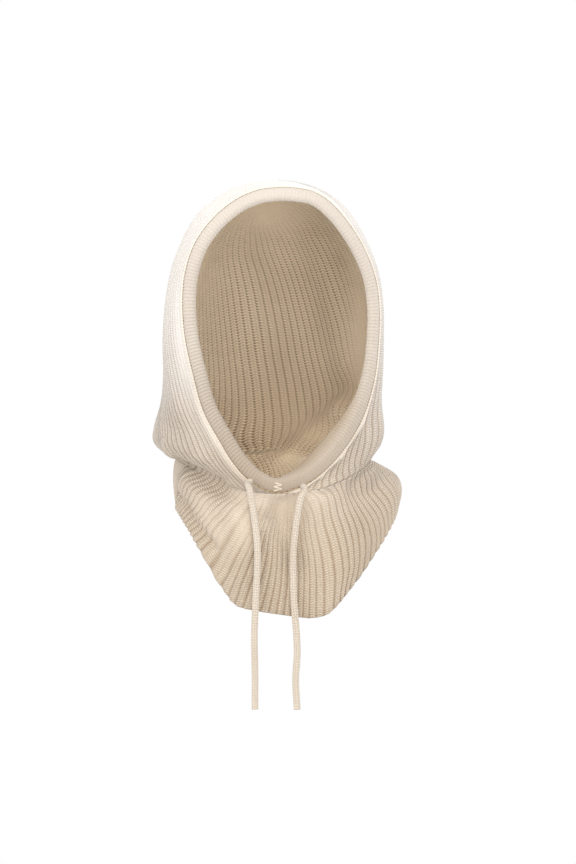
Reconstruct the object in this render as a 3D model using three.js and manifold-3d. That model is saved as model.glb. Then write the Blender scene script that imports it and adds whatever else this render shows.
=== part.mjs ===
// Snood hood: a rib knit hood that runs on into a neck bib, with a drawstring
// tunnel round the face. Millimetres, +Z up, the face looks along -Y.
// The origin is the inside of the crown, where the hood rests on the head.

import * as THREE from "three";
import Module from "manifold-3d";
import { mergeVertices } from "three/addons/utils/BufferGeometryUtils.js";

// Overall sizes of the knitted shell
const HOOD_WIDTH = 200;
const HOOD_DEPTH = 200;
const HOOD_HEIGHT = 250;
const BIB_WIDTH = 210;
const BIB_DEPTH = 200;
const BIB_DROP = 142;
const KNIT_WALL = 3.2;

// Drawstring tunnel and cord
const CORD_DIAMETER = 6.2;
const TUNNEL_WALL = 1.6;
const TUNNEL_WIDTH = 13.4;
const SEAT_GAP = 0.3;
const EXIT_CLEARANCE = 0.4;
const EXIT_PLACE = { left: 12.5, right: 13 };
const EXIT_LEAN = 45;
const EXIT_REACH = 6.6;

// Facets
const COLUMNS = 52;
const STEPS_PER_ROW = 2;
const TUNNEL_SIDES = 10;
const CORD_SIDES = 8;
const FOLD_STEPS = 200;

const COLOURS = { knit: 0xd9cbb8, tunnel: 0xddd0be, cord: 0xdcd1c4 };

// Hood, from the crown seam down to the chin, a row for each section.
// Widths and leads are shares of half the hood's width and depth, falls are
// shares of its height. rim: the middle of the tunnel on each side of the
// face. left, right, sideFall: the widest point. back, backFall: the back.
// mid: the middle of the section. turn: degrees that the tunnel leans back.
const HOOD_ROWS = [
  { rimLeft: 0.02, rimRight: 0.02, rimLead: 0.74, rimFall: 0.077, turn: 30,
    left: 0.00, right: 0.00, sideFall: 0.000, back: 0.78, backFall: 0.101, mid: 0.00 },
  { rimLeft: -0.10, rimRight: 0.14, rimLead: 0.74, rimFall: 0.080, turn: 30,
    left: -0.18, right: 0.18, sideFall: 0.006, back: 0.79, backFall: 0.108, mid: 0.00 },
  { rimLeft: -0.225, rimRight: 0.265, rimLead: 0.735, rimFall: 0.090, turn: 31,
    left: -0.36, right: 0.37, sideFall: 0.026, back: 0.83, backFall: 0.130, mid: 0.00 },
  { rimLeft: -0.39, rimRight: 0.395, rimLead: 0.72, rimFall: 0.121, turn: 32,
    left: -0.54, right: 0.55, sideFall: 0.064, back: 0.88, backFall: 0.165, mid: 0.00 },
  { rimLeft: -0.57, rimRight: 0.54, rimLead: 0.69, rimFall: 0.181, turn: 34,
    left: -0.72, right: 0.71, sideFall: 0.127, back: 0.93, backFall: 0.221, mid: 0.00 },
  { rimLeft: -0.72, rimRight: 0.685, rimLead: 0.65, rimFall: 0.265, turn: 36,
    left: -0.855, right: 0.85, sideFall: 0.225, back: 0.98, backFall: 0.293, mid: 0.00 },
  { rimLeft: -0.80, rimRight: 0.80, rimLead: 0.60, rimFall: 0.369, turn: 38,
    left: -0.95, right: 0.955, sideFall: 0.333, back: 1.02, backFall: 0.393, mid: 0.00 },
  { rimLeft: -0.816, rimRight: 0.843, rimLead: 0.575, rimFall: 0.481, turn: 39,
    left: -1.00, right: 1.00, sideFall: 0.453, back: 1.04, backFall: 0.501, mid: 0.00 },
  { rimLeft: -0.79, rimRight: 0.835, rimLead: 0.58, rimFall: 0.593, turn: 40,
    left: -1.02, right: 1.005, sideFall: 0.581, back: 1.03, backFall: 0.613, mid: 0.00 },
  { rimLeft: -0.722, rimRight: 0.795, rimLead: 0.62, rimFall: 0.717, turn: 38,
    left: -1.015, right: 1.00, sideFall: 0.701, back: 0.99, backFall: 0.717, mid: 0.00 },
  { rimLeft: -0.64, rimRight: 0.70, rimLead: 0.695, rimFall: 0.837, turn: 34,
    left: -1.035, right: 0.99, sideFall: 0.805, back: 0.92, backFall: 0.805, mid: -0.01 },
  { rimLeft: -0.51, rimRight: 0.555, rimLead: 0.79, rimFall: 0.937, turn: 28,
    left: -1.10, right: 1.015, sideFall: 0.901, back: 0.84, backFall: 0.877, mid: -0.02 },
  { rimLeft: -0.385, rimRight: 0.37, rimLead: 0.88, rimFall: 1.021, turn: 22,
    left: -1.105, right: 0.99, sideFall: 0.957, back: 0.77, backFall: 0.925, mid: -0.04 },
  { rimLeft: -0.24, rimRight: 0.17, rimLead: 0.95, rimFall: 1.081, turn: 17,
    left: -1.01, right: 0.92, sideFall: 0.997, back: 0.71, backFall: 0.961, mid: -0.06 },
  { rimLeft: -0.07, rimRight: -0.07, rimLead: 0.98, rimFall: 1.109, turn: 14,
    left: -0.89, right: 0.89, sideFall: 1.021, back: 0.69, backFall: 0.989, mid: -0.07 },
];

// Bib, from under the chin to the hem. Widths and depths are shares of half
// its width and depth, falls are shares of its drop below the neck.
// front: how far the front stands out past the chin. frontFall: share of the
// way from the chin down to the hem. bend: how much the row takes the hem's
// corners.
const BIB_ROWS = [
  { front: -0.02, frontFall: 0.08, left: -0.85, right: 0.90, sideFall: 0.055,
    back: 0.72, backFall: 0.014, mid: -0.06, bend: 0.0 },
  { front: 0.02, frontFall: 0.26, left: -0.875, right: 1.07, sideFall: 0.130,
    back: 0.86, backFall: 0.130, mid: -0.02, bend: 0.2 },
  { front: 0.06, frontFall: 0.56, left: -0.875, right: 1.12, sideFall: 0.220,
    back: 0.97, backFall: 0.400, mid: 0.08, bend: 0.7 },
  { front: 0.07, frontFall: 1.00, left: -0.855, right: 1.08, sideFall: 0.350,
    back: 1.08, backFall: 0.884, mid: 0.19, bend: 1.0 },
];

// Folds and dents, each a line over the shell through a few places, given as
// the share across from the left rim to the right and the row. push: how far
// the knit moves out, or in where it is negative. upper and lower: how far the
// fold spreads on its two sides. All are shares of half the hood's width.
const FOLDS = [
  { name: "nape roll", push: -0.16, upper: 0.13, lower: 0.28,
    line: [[0.455, 15.4], [0.53, 13.2], [0.61, 11.4], [0.69, 10.2]] },
  { name: "inner side fold", push: -0.05, upper: 0.12, lower: 0.12,
    line: [[0.63, 4.0], [0.65, 5.6], [0.67, 7.4], [0.69, 8.6]] },
  { name: "left lip", push: 0.045, upper: 0.12, lower: 0.06,
    line: [[0.15, 12.3], [0.10, 12.8], [0.05, 13.3]] },
  { name: "left tuck", push: -0.06, upper: 0.06, lower: 0.10,
    line: [[0.17, 14.4], [0.11, 14.7], [0.06, 14.9]] },
  { name: "front valley", push: -0.06, upper: 0.11, lower: 0.11,
    line: [[0.985, 14.4], [0.995, 15.6], [1.0, 17.0]] },
  { name: "left billow", push: 0.055, upper: 0.13, lower: 0.13,
    line: [[0.06, 15.2], [0.06, 16.5], [0.075, 17.5]] },
  { name: "right drape", push: 0.035, upper: 0.15, lower: 0.15,
    line: [[0.93, 14.8], [0.93, 16.2], [0.935, 17.5]] },
];

// Roundness of the sections, and how the edge of a row climbs to the sides.
const ROUNDNESS = 2.3;
const CLIMB = 2.1;
const SIDE_LEAD = 0.06;

// Corners of the front of the hem, as shares of the way from its middle to its
// side, the slope up to them, and how soft they are
const HEM_LEFT = { corner: 0.60, slope: 0.15 };
const HEM_RIGHT = { corner: 0.20, slope: 0.00 };
const HEM_SOFTNESS = 0.012;

const TUNNEL_THICKNESS = CORD_DIAMETER + 2 * (TUNNEL_WALL + SEAT_GAP);
const NECK_LEVEL = KNIT_WALL - HOOD_HEIGHT;
const HEM_LEVEL = NECK_LEVEL - BIB_DROP;

function sectionRows() {
  const halfWidth = HOOD_WIDTH / 2;
  const halfDepth = HOOD_DEPTH / 2;
  const rows = HOOD_ROWS.map((row) => ({
    rimLeft: row.rimLeft * halfWidth,
    rimRight: row.rimRight * halfWidth,
    rimY: -row.rimLead * halfDepth,
    rimZ: KNIT_WALL - row.rimFall * HOOD_HEIGHT,
    turn: THREE.MathUtils.degToRad(row.turn),
    left: row.left * halfWidth,
    right: row.right * halfWidth,
    sideZ: KNIT_WALL - row.sideFall * HOOD_HEIGHT,
    backY: row.back * halfDepth,
    backZ: KNIT_WALL - row.backFall * HOOD_HEIGHT,
    mid: row.mid * halfWidth,
    front: 0,
    frontFall: 0,
    bend: 0,
  }));
  for (const row of BIB_ROWS) {
    rows.push({
      left: row.left * BIB_WIDTH / 2,
      right: row.right * BIB_WIDTH / 2,
      sideZ: NECK_LEVEL - row.sideFall * BIB_DROP,
      backY: row.back * BIB_DEPTH / 2,
      backZ: NECK_LEVEL - row.backFall * BIB_DROP,
      mid: row.mid * BIB_WIDTH / 2,
      front: row.front * BIB_DEPTH / 2,
      frontFall: row.frontFall,
      bend: row.bend,
    });
  }
  return rows;
}

const ROWS = sectionRows();
const CHIN = HOOD_ROWS.length - 1;
const LAST = ROWS.length - 1;

// One column of the table, carried on past its ends: the rim of one side runs
// on into the other side's, and the crown mirrors
const MIRRORED = { rimLeft: "rimRight", rimRight: "rimLeft", left: "right", right: "left" };

function rowValue(index, key) {
  const isRim = key.startsWith("rim") || key === "turn";
  if (index < 0) {
    return ROWS[-index][MIRRORED[key] || key];
  }
  if (isRim && index > CHIN) {
    return ROWS[2 * CHIN - index][MIRRORED[key] || key];
  }
  if (index > LAST) {
    return 2 * ROWS[LAST][key] - ROWS[2 * LAST - index][key];
  }
  return ROWS[index][key];
}

// Smooth value of one column at a place between two rows
function valueAt(place, key) {
  const low = Math.floor(place);
  const t = place - low;
  const a = rowValue(low, key);
  const b = rowValue(low + 1, key);
  const leave = (b - rowValue(low - 1, key)) / 2;
  const arrive = (rowValue(low + 2, key) - a) / 2;
  const t2 = t * t;
  const t3 = t2 * t;
  return (2 * t3 - 3 * t2 + 1) * a + (t3 - 2 * t2 + t) * leave
    + (3 * t2 - 2 * t3) * b + (t3 - t2) * arrive;
}

// Middle of the tunnel
function rimMiddle(place, side) {
  const key = side < 0 ? "rimLeft" : "rimRight";
  return new THREE.Vector3(valueAt(place, key), valueAt(place, "rimY"), valueAt(place, "rimZ"));
}

// Where the tunnel runs on one side, -1 left and 1 right: its middle, the way
// in which the hood leaves it, and the way that its front faces
function rimFrame(place, side) {
  const step = 0.02;
  const middle = rimMiddle(place, side);
  const along = rimMiddle(place + step, side);
  if (place < step) {
    along.sub(rimMiddle(step - place, -side));
  } else {
    along.sub(rimMiddle(place - step, side));
  }
  along.normalize();
  const turn = valueAt(place, "turn");
  const flat = new THREE.Vector3(-along.z * side, 0, along.x * side).normalize();
  const outward = flat.multiplyScalar(Math.cos(turn)).add(new THREE.Vector3(0, Math.sin(turn), 0));
  outward.addScaledVector(along, -outward.dot(along)).normalize();
  const front = outward.clone().cross(along).normalize();
  if (front.y > 0) {
    front.negate();
  }
  return { middle, outward, front };
}

// Edge of the hood's outer face, beside the tunnel
function rimEdge(place, side) {
  const { middle, outward, front } = rimFrame(place, side);
  return middle.addScaledVector(outward, TUNNEL_WIDTH / 2 + SEAT_GAP)
    .addScaledVector(front, KNIT_WALL / 2);
}

// Front of the hem: nearly level to its corner, then straight up to the side
function hemClimb(across, side) {
  const { corner, slope } = side < 0 ? HEM_LEFT : HEM_RIGHT;
  const ramp = (share) => {
    const past = (share - corner) / (1 - corner);
    return (past + Math.sqrt(past * past + HEM_SOFTNESS)) / 2;
  };
  return slope * across + (1 - slope) * (ramp(across) - ramp(0)) / (ramp(1) - ramp(0));
}

// One section as a fine run of points from the left edge round the back
function sectionPoints(place) {
  const mid = valueAt(place, "mid");
  const sideZ = valueAt(place, "sideZ");
  const backY = valueAt(place, "backY");
  const backZ = valueAt(place, "backZ");
  const bend = Math.max(valueAt(place, "bend"), 0);
  const sideY = SIDE_LEAD * HOOD_DEPTH / 2;
  const chinEdge = rimEdge(CHIN, 1);
  const points = [];
  for (const side of [-1, 1]) {
    const reach = Math.abs(valueAt(place, side < 0 ? "left" : "right") - mid);
    let frontShare = 0;
    let frontDepth = sideY - chinEdge.y + valueAt(place, "front");
    let edgeZ = chinEdge.z + (HEM_LEVEL - chinEdge.z) * valueAt(place, "frontFall");
    if (place < CHIN) {
      const edge = rimEdge(place, side);
      const off = Math.max((edge.x - mid) * side, 0);
      frontShare = Math.min((off + 0.012) / (reach + 0.02), 0.97);
      const open = Math.pow(1 - Math.pow(frontShare, ROUNDNESS), 1 / ROUNDNESS);
      frontDepth = (sideY - edge.y) / open;
      edgeZ = edge.z;
    }
    const start = Math.acos(Math.pow(frontShare, ROUNDNESS / 2));
    const sidePoints = [];
    const frontSteps = 28;
    const backSteps = 44;
    const foot = Math.pow(frontShare, CLIMB);
    for (let i = 0; i < frontSteps; i++) {
      const angle = start * (1 - i / frontSteps);
      const across = Math.pow(Math.cos(angle), 2 / ROUNDNESS);
      const deep = Math.pow(Math.sin(angle), 2 / ROUNDNESS);
      const swept = (Math.pow(across, CLIMB) - foot) / (1 - foot);
      const climb = swept + (hemClimb(across, side) - swept) * bend;
      sidePoints.push(new THREE.Vector3(mid + side * reach * across, sideY - frontDepth * deep,
        edgeZ + (sideZ - edgeZ) * climb));
    }
    for (let i = 0; i <= backSteps; i++) {
      const angle = (Math.PI / 2) * (i / backSteps);
      const across = Math.pow(Math.cos(angle), 2 / ROUNDNESS);
      const deep = Math.pow(Math.sin(angle), 2 / ROUNDNESS);
      sidePoints.push(new THREE.Vector3(mid + side * reach * across,
        sideY + (backY - sideY) * deep, backZ + (sideZ - backZ) * Math.pow(across, CLIMB)));
    }
    if (side < 0) {
      points.push(...sidePoints);
    } else {
      points.push(...sidePoints.reverse().slice(1));
    }
  }
  return points;
}

// The section again, at equal steps along its length
function evenSection(place, count) {
  const points = sectionPoints(place);
  const lengths = [0];
  for (let i = 1; i < points.length; i++) {
    lengths.push(lengths[i - 1] + points[i].distanceTo(points[i - 1]));
  }
  const total = lengths[lengths.length - 1];
  const even = [];
  let at = 0;
  for (let i = 0; i <= count; i++) {
    const target = total * i / count;
    while (at < points.length - 2 && lengths[at + 1] < target) {
      at += 1;
    }
    const span = lengths[at + 1] - lengths[at];
    const t = span > 0 ? (target - lengths[at]) / span : 0;
    even.push(points[at].clone().lerp(points[at + 1], Math.min(Math.max(t, 0), 1)));
  }
  return even;
}

// The folds in millimetres, with their lines laid on the shell
function foldLines() {
  return FOLDS.map((fold) => ({
    push: fold.push * HOOD_WIDTH / 2,
    upper: fold.upper * HOOD_WIDTH / 2,
    lower: fold.lower * HOOD_WIDTH / 2,
    line: fold.line.map(([across, place]) => (
      evenSection(place, FOLD_STEPS)[Math.round(across * FOLD_STEPS)])),
  }));
}

// How far the folds move one point of the shell along its normal
function foldPush(lines, point) {
  let total = 0;
  for (const { push, upper, lower, line } of lines) {
    let nearest = Infinity;
    let below = true;
    for (let i = 0; i < line.length - 1; i++) {
      const run = line[i + 1].clone().sub(line[i]);
      const offset = point.clone().sub(line[i]);
      const share = THREE.MathUtils.clamp(offset.dot(run) / run.lengthSq(), 0, 1);
      const away = offset.addScaledVector(run, -share);
      if (away.length() < nearest) {
        nearest = away.length();
        below = away.z < 0;
      }
    }
    total += push * Math.exp(-Math.pow(nearest / (below ? lower : upper), 2));
  }
  return total;
}

// Grid of points over the outer face, from the crown to the hem
function hoodGrid() {
  const rows = [];
  for (let i = 0; i <= LAST * STEPS_PER_ROW; i++) {
    rows.push(evenSection(i / STEPS_PER_ROW, COLUMNS));
  }
  const chinRow = CHIN * STEPS_PER_ROW;
  joinGrid(rows, chinRow);
  const normals = hoodNormals(rows, chinRow);
  const lines = foldLines();
  rows.forEach((row, r) => row.forEach((point, c) => {
    const onRim = r <= chinRow && (c === 0 || c === COLUMNS);
    if (!onRim) {
      point.addScaledVector(normals[r][c], foldPush(lines, point));
    }
  }));
  joinGrid(rows, chinRow);
  return { rows, chinRow };
}

// The crown seam and the front of the bib are joined edges
function joinGrid(rows, chinRow) {
  for (let c = 0; c <= COLUMNS; c++) {
    rows[0][c].copy(rows[0][Math.min(c, COLUMNS - c)]);
  }
  for (let r = chinRow; r < rows.length; r++) {
    rows[r][COLUMNS].copy(rows[r][0]);
  }
}

// Outward normal of each point of the grid
function hoodNormals(rows, chinRow) {
  const normals = rows.map((row) => row.map(() => new THREE.Vector3()));
  const last = rows.length - 1;
  for (let r = 0; r <= last; r++) {
    for (let c = 0; c <= COLUMNS; c++) {
      const closed = r >= chinRow;
      const east = c < COLUMNS ? rows[r][c + 1] : (closed ? rows[r][1] : rows[r][c]);
      const west = c > 0 ? rows[r][c - 1] : (closed ? rows[r][COLUMNS - 1] : rows[r][c]);
      const south = rows[Math.min(r + 1, last)][c];
      const north = r > 0 ? rows[r - 1][c] : rows[1][COLUMNS - c];
      const across = east.clone().sub(west);
      const down = south.clone().sub(north);
      normals[r][c].copy(across.cross(down).normalize());
    }
  }
  normals[0][COLUMNS / 2].copy(normals[1][COLUMNS / 2]);
  for (let c = 0; c <= COLUMNS; c++) {
    const both = normals[0][c].clone().add(normals[0][COLUMNS - c]).normalize();
    normals[0][c].copy(both);
    normals[0][COLUMNS - c].copy(both);
  }
  for (let r = chinRow; r <= last; r++) {
    const both = normals[r][0].clone().add(normals[r][COLUMNS]).normalize();
    normals[r][0].copy(both);
    normals[r][COLUMNS].copy(both);
  }
  return normals;
}

// Outer and inner face, joined along the rim and the hem
function shellGeometry() {
  const { rows, chinRow } = hoodGrid();
  const normals = hoodNormals(rows, chinRow);
  const positions = [];
  const outer = rows;
  const inner = rows.map((row, r) => row.map((p, c) => (
    p.clone().addScaledVector(normals[r][c], -KNIT_WALL))));
  for (let r = 0; r <= chinRow; r++) {
    for (const [c, side] of [[0, -1], [COLUMNS, 1]]) {
      const { front } = rimFrame(r / STEPS_PER_ROW, side);
      inner[r][c] = outer[r][c].clone().addScaledVector(front, -KNIT_WALL);
    }
  }
  function quad(a, b, c, d) {
    const split = a.distanceTo(c) <= b.distanceTo(d) ? [a, b, c, a, c, d] : [a, b, d, b, c, d];
    for (const p of split) {
      positions.push(p.x, p.y, p.z);
    }
  }
  const last = rows.length - 1;
  for (let r = 0; r < last; r++) {
    for (let c = 0; c < COLUMNS; c++) {
      quad(outer[r][c], outer[r][c + 1], outer[r + 1][c + 1], outer[r + 1][c]);
      quad(inner[r][c], inner[r + 1][c], inner[r + 1][c + 1], inner[r][c + 1]);
    }
  }
  for (let r = 0; r < chinRow; r++) {
    quad(outer[r][0], outer[r + 1][0], inner[r + 1][0], inner[r][0]);
    quad(outer[r + 1][COLUMNS], outer[r][COLUMNS], inner[r][COLUMNS], inner[r + 1][COLUMNS]);
  }
  for (let c = 0; c < COLUMNS; c++) {
    quad(outer[last][c], outer[last][c + 1], inner[last][c + 1], inner[last][c]);
  }
  return closedGeometry(positions);
}

// Drop collapsed triangles and share vertices
function closedGeometry(positions) {
  const kept = [];
  const round = (value) => Math.round(value * 1e5) / 1e5;
  for (let i = 0; i < positions.length; i += 9) {
    const t = positions.slice(i, i + 9).map(round);
    const same = (a, b) => t[a] === t[b] && t[a + 1] === t[b + 1] && t[a + 2] === t[b + 2];
    if (!same(0, 3) && !same(3, 6) && !same(0, 6)) {
      kept.push(...t);
    }
  }
  const geometry = new THREE.BufferGeometry();
  geometry.setAttribute("position", new THREE.Float32BufferAttribute(kept, 3));
  return mergeVertices(geometry, 1e-4);
}

// Closed ring of sections round the face, one beside each row of the hood
function rimLoop() {
  const loop = [];
  const half = CHIN * STEPS_PER_ROW;
  for (let i = 0; i < 2 * half; i++) {
    const side = i <= half ? 1 : -1;
    loop.push(rimFrame((i <= half ? i : 2 * half - i) / STEPS_PER_ROW, side));
  }
  return loop;
}

// Oval section of the tunnel or its cord at one frame
function ovalPoints({ middle, outward, front }, halfWidth, halfThickness, sides) {
  const points = [];
  for (let k = 0; k < sides; k++) {
    const angle = (2 * Math.PI * k) / sides;
    points.push(middle.clone()
      .addScaledVector(outward, Math.cos(angle) * halfWidth)
      .addScaledVector(front, Math.sin(angle) * halfThickness));
  }
  return points;
}

// Skin over a run of sections: a closed ring, or a rod with flat ends
function skinGeometry(sections, isRing) {
  const positions = [];
  const sides = sections[0].length;
  function face(a, b, c) {
    for (const p of [a, b, c]) {
      positions.push(p.x, p.y, p.z);
    }
  }
  const count = isRing ? sections.length : sections.length - 1;
  for (let i = 0; i < count; i++) {
    const here = sections[i];
    const next = sections[(i + 1) % sections.length];
    for (let k = 0; k < sides; k++) {
      const up = (k + 1) % sides;
      face(here[k], next[up], next[k]);
      face(here[k], here[up], next[up]);
    }
  }
  if (!isRing) {
    const first = sections[0];
    const last = sections[sections.length - 1];
    for (let k = 1; k < sides - 1; k++) {
      face(first[0], first[k + 1], first[k]);
      face(last[0], last[k], last[k + 1]);
    }
  }
  return closedGeometry(positions);
}

const wasm = await Module();
wasm.setup();

function solidFrom(geometry) {
  const bare = geometry.clone();
  bare.deleteAttribute("normal");
  bare.deleteAttribute("uv");
  const merged = mergeVertices(bare, 1e-4);
  return new wasm.Manifold(new wasm.Mesh({
    numProp: 3,
    vertProperties: new Float32Array(merged.attributes.position.array),
    triVerts: new Uint32Array(merged.index.array),
  }));
}

function geometryFrom(solid) {
  const mesh = solid.getMesh();
  const geometry = new THREE.BufferGeometry();
  geometry.setAttribute("position", new THREE.BufferAttribute(mesh.vertProperties, 3));
  geometry.setIndex(new THREE.BufferAttribute(mesh.triVerts, 1));
  return geometry;
}

const part = new THREE.Group();

function addPiece(name, geometry, colour) {
  const material = new THREE.MeshStandardMaterial({ color: colour, roughness: 0.95, metalness: 0 });
  const mesh = new THREE.Mesh(geometry, material);
  mesh.name = name;
  part.add(mesh);
}

// Knitted shell of the hood and its bib
addPiece("hood", shellGeometry(), COLOURS.knit);

// Hollow tunnel, with a buttonhole on each side of the chin for the cord
const loop = rimLoop();
const CORD_RADIUS = CORD_DIAMETER / 2;
const boreHalfWidth = TUNNEL_WIDTH / 2 - TUNNEL_WALL;
const boreHalfThickness = TUNNEL_THICKNESS / 2 - TUNNEL_WALL;

function tunnelSolid(halfWidth, halfThickness) {
  const sections = loop.map((frame) => ovalPoints(frame, halfWidth, halfThickness, TUNNEL_SIDES));
  return solidFrom(skinGeometry(sections, true));
}

// Frame of the tunnel at a buttonhole, with the way that the cord leaves it
function exitFrame(side) {
  const frame = rimFrame(side < 0 ? EXIT_PLACE.left : EXIT_PLACE.right, side);
  const lean = THREE.MathUtils.degToRad(EXIT_LEAN);
  frame.way = frame.front.clone().multiplyScalar(Math.cos(lean))
    .addScaledVector(frame.outward, Math.sin(lean));
  return frame;
}

function exitHole(side) {
  const { middle, way } = exitFrame(side);
  const radius = (CORD_RADIUS + EXIT_CLEARANCE) / Math.cos(Math.PI / CORD_SIDES);
  const hole = new THREE.CylinderGeometry(radius, radius, TUNNEL_WIDTH, CORD_SIDES);
  hole.translate(0, TUNNEL_WIDTH / 2, 0);
  hole.applyQuaternion(new THREE.Quaternion().setFromUnitVectors(new THREE.Vector3(0, 1, 0), way));
  hole.translate(middle.x, middle.y, middle.z);
  return solidFrom(hole);
}

const tunnel = tunnelSolid(TUNNEL_WIDTH / 2, TUNNEL_THICKNESS / 2)
  .subtract(tunnelSolid(boreHalfWidth, boreHalfThickness))
  .subtract(exitHole(-1))
  .subtract(exitHole(1));
addPiece("face_casing", geometryFrom(tunnel), COLOURS.tunnel);

// Hidden stretch of the cord, over the face from one buttonhole to the other
function channelFrames() {
  const rightStation = EXIT_PLACE.right * STEPS_PER_ROW;
  const leftStation = loop.length - EXIT_PLACE.left * STEPS_PER_ROW;
  const inset = CORD_RADIUS + SEAT_GAP;
  const frames = [];
  for (let i = rightStation; i >= 0; i--) {
    frames.push(loop[i]);
  }
  for (let i = loop.length - 1; i >= leftStation; i--) {
    frames.push(loop[i]);
  }
  for (const [end, next] of [[0, 1], [frames.length - 1, frames.length - 2]]) {
    const run = frames[next].middle.clone().sub(frames[end].middle);
    const share = inset / run.length();
    frames[end] = {
      middle: frames[end].middle.clone().addScaledVector(run, share),
      outward: frames[end].outward.clone().lerp(frames[next].outward, share).normalize(),
      front: frames[end].front.clone().lerp(frames[next].front, share).normalize(),
    };
  }
  return frames;
}

const channelSections = channelFrames()
  .map((frame) => ovalPoints(frame, CORD_RADIUS, CORD_RADIUS, CORD_SIDES).reverse());
addPiece("drawcord_channel", skinGeometry(channelSections, false), COLOURS.cord);

// Free ends of the cord, from inside the buttonholes down to their cut ends
const CORD_POINTS = {
  drawcord_left: [[-31.2, -101.5, -277.5], [-27.2, -104, -303.4], [-24.9, -106.5, -329.4],
    [-25.5, -106.5, -355.2], [-26.8, -106, -381.2], [-27.6, -106, -407.3],
    [-27.1, -106, -433.3], [-27.1, -106, -468.0]],
  drawcord_right: [[13.1, -100, -286.2], [9.3, -102, -307.9], [6.9, -103.5, -329.5],
    [6.3, -106.5, -355.5], [7.2, -109, -381.5], [9.0, -109, -403.3], [9.5, -109, -420.7],
    [8.2, -109, -442.4], [9.5, -109, -468.5]],
};
const CORD_STEPS = 24;

function freeCord(name, side) {
  const { middle, way } = exitFrame(side);
  const start = [SEAT_GAP, EXIT_REACH].map((reach) => (
    middle.clone().addScaledVector(way, reach)));
  const route = new THREE.CatmullRomCurve3([...start,
    ...CORD_POINTS[name].map((p) => new THREE.Vector3(...p))], false, "centripetal");
  const outline = new THREE.Shape();
  for (let k = 0; k < CORD_SIDES; k++) {
    const angle = (2 * Math.PI * k) / CORD_SIDES;
    const [u, v] = [Math.cos(angle) * CORD_RADIUS, Math.sin(angle) * CORD_RADIUS];
    if (k === 0) {
      outline.moveTo(u, v);
    } else {
      outline.lineTo(u, v);
    }
  }
  const cord = new THREE.ExtrudeGeometry(outline, { steps: CORD_STEPS, extrudePath: route });
  cord.deleteAttribute("normal");
  cord.deleteAttribute("uv");
  return mergeVertices(cord, 1e-4);
}

addPiece("drawcord_left", freeCord("drawcord_left", -1), COLOURS.cord);
addPiece("drawcord_right", freeCord("drawcord_right", 1), COLOURS.cord);

export default part;
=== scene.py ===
# %% [markdown]
# A snood hood in cream rib knit: a hood, a tunnel round the face with a cord in it, and a bib
# that covers the neck. The imported CAD model is the fixed frame, so it is loaded first.

# %% Load the frame
import math

import bmesh
import bpy
import numpy as np
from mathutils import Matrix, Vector


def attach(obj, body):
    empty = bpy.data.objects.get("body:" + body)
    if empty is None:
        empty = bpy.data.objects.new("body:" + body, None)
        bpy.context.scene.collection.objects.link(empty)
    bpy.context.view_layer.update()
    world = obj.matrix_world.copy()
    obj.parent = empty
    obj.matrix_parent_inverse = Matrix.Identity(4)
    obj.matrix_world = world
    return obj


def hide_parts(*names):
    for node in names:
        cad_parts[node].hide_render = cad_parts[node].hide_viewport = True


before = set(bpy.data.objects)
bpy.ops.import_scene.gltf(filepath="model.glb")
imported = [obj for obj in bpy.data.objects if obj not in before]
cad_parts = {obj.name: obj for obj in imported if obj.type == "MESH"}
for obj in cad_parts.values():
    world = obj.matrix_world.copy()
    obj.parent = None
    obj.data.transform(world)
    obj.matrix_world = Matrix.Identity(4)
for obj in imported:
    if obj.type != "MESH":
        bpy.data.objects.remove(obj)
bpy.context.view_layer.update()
print("CAD nodes:", sorted(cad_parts))

# %% [markdown]
# The camera stands two metres away, a little to the left of the face, level
# with the middle of the hood. A long lens keeps the knit from looking swollen.

# %% Camera
CAMERA_TARGET = Vector((0.01295, 0.0, -0.227))
CAMERA_DISTANCE = 2.0
CAMERA_AZIMUTH = math.radians(-6)
LENS, SENSOR_WIDTH = 90.58, 36

camera_data = bpy.data.cameras.new("camera")
camera_data.lens = LENS
camera_data.sensor_width = SENSOR_WIDTH
camera = bpy.data.objects.new("camera", camera_data)
camera.location = CAMERA_TARGET + CAMERA_DISTANCE * Vector(
    (math.sin(CAMERA_AZIMUTH), -math.cos(CAMERA_AZIMUTH), 0))
camera.rotation_euler = (math.pi / 2, 0, CAMERA_AZIMUTH)
bpy.context.scene.collection.objects.link(camera)
bpy.context.scene.camera = camera
print("camera at", [round(c, 3) for c in camera.location])

# %% [markdown]
# The hood is described by sections, from the crown seam down to the hem. Each
# row of the first table is one section of the hood and each row of the second
# one is a section of the bib. The same tables shape the CAD model, so the knit
# made here lies where that model is.

# %% Sizes and tables of sections
MM = 0.001
HOOD_WIDTH, HOOD_DEPTH, HOOD_HEIGHT = 0.200, 0.200, 0.250
BIB_WIDTH, BIB_DEPTH, BIB_DROP = 0.210, 0.200, 0.142
KNIT_WALL = 0.0032
CORD_DIAMETER = 0.0062
TUNNEL_WALL, TUNNEL_WIDTH, SEAT_GAP = 0.0016, 0.0134, 0.0003
TUNNEL_THICKNESS = CORD_DIAMETER + 2 * (TUNNEL_WALL + SEAT_GAP)
ROUNDNESS, CLIMB, SIDE_LEAD = 2.3, 2.1, 0.06

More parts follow.
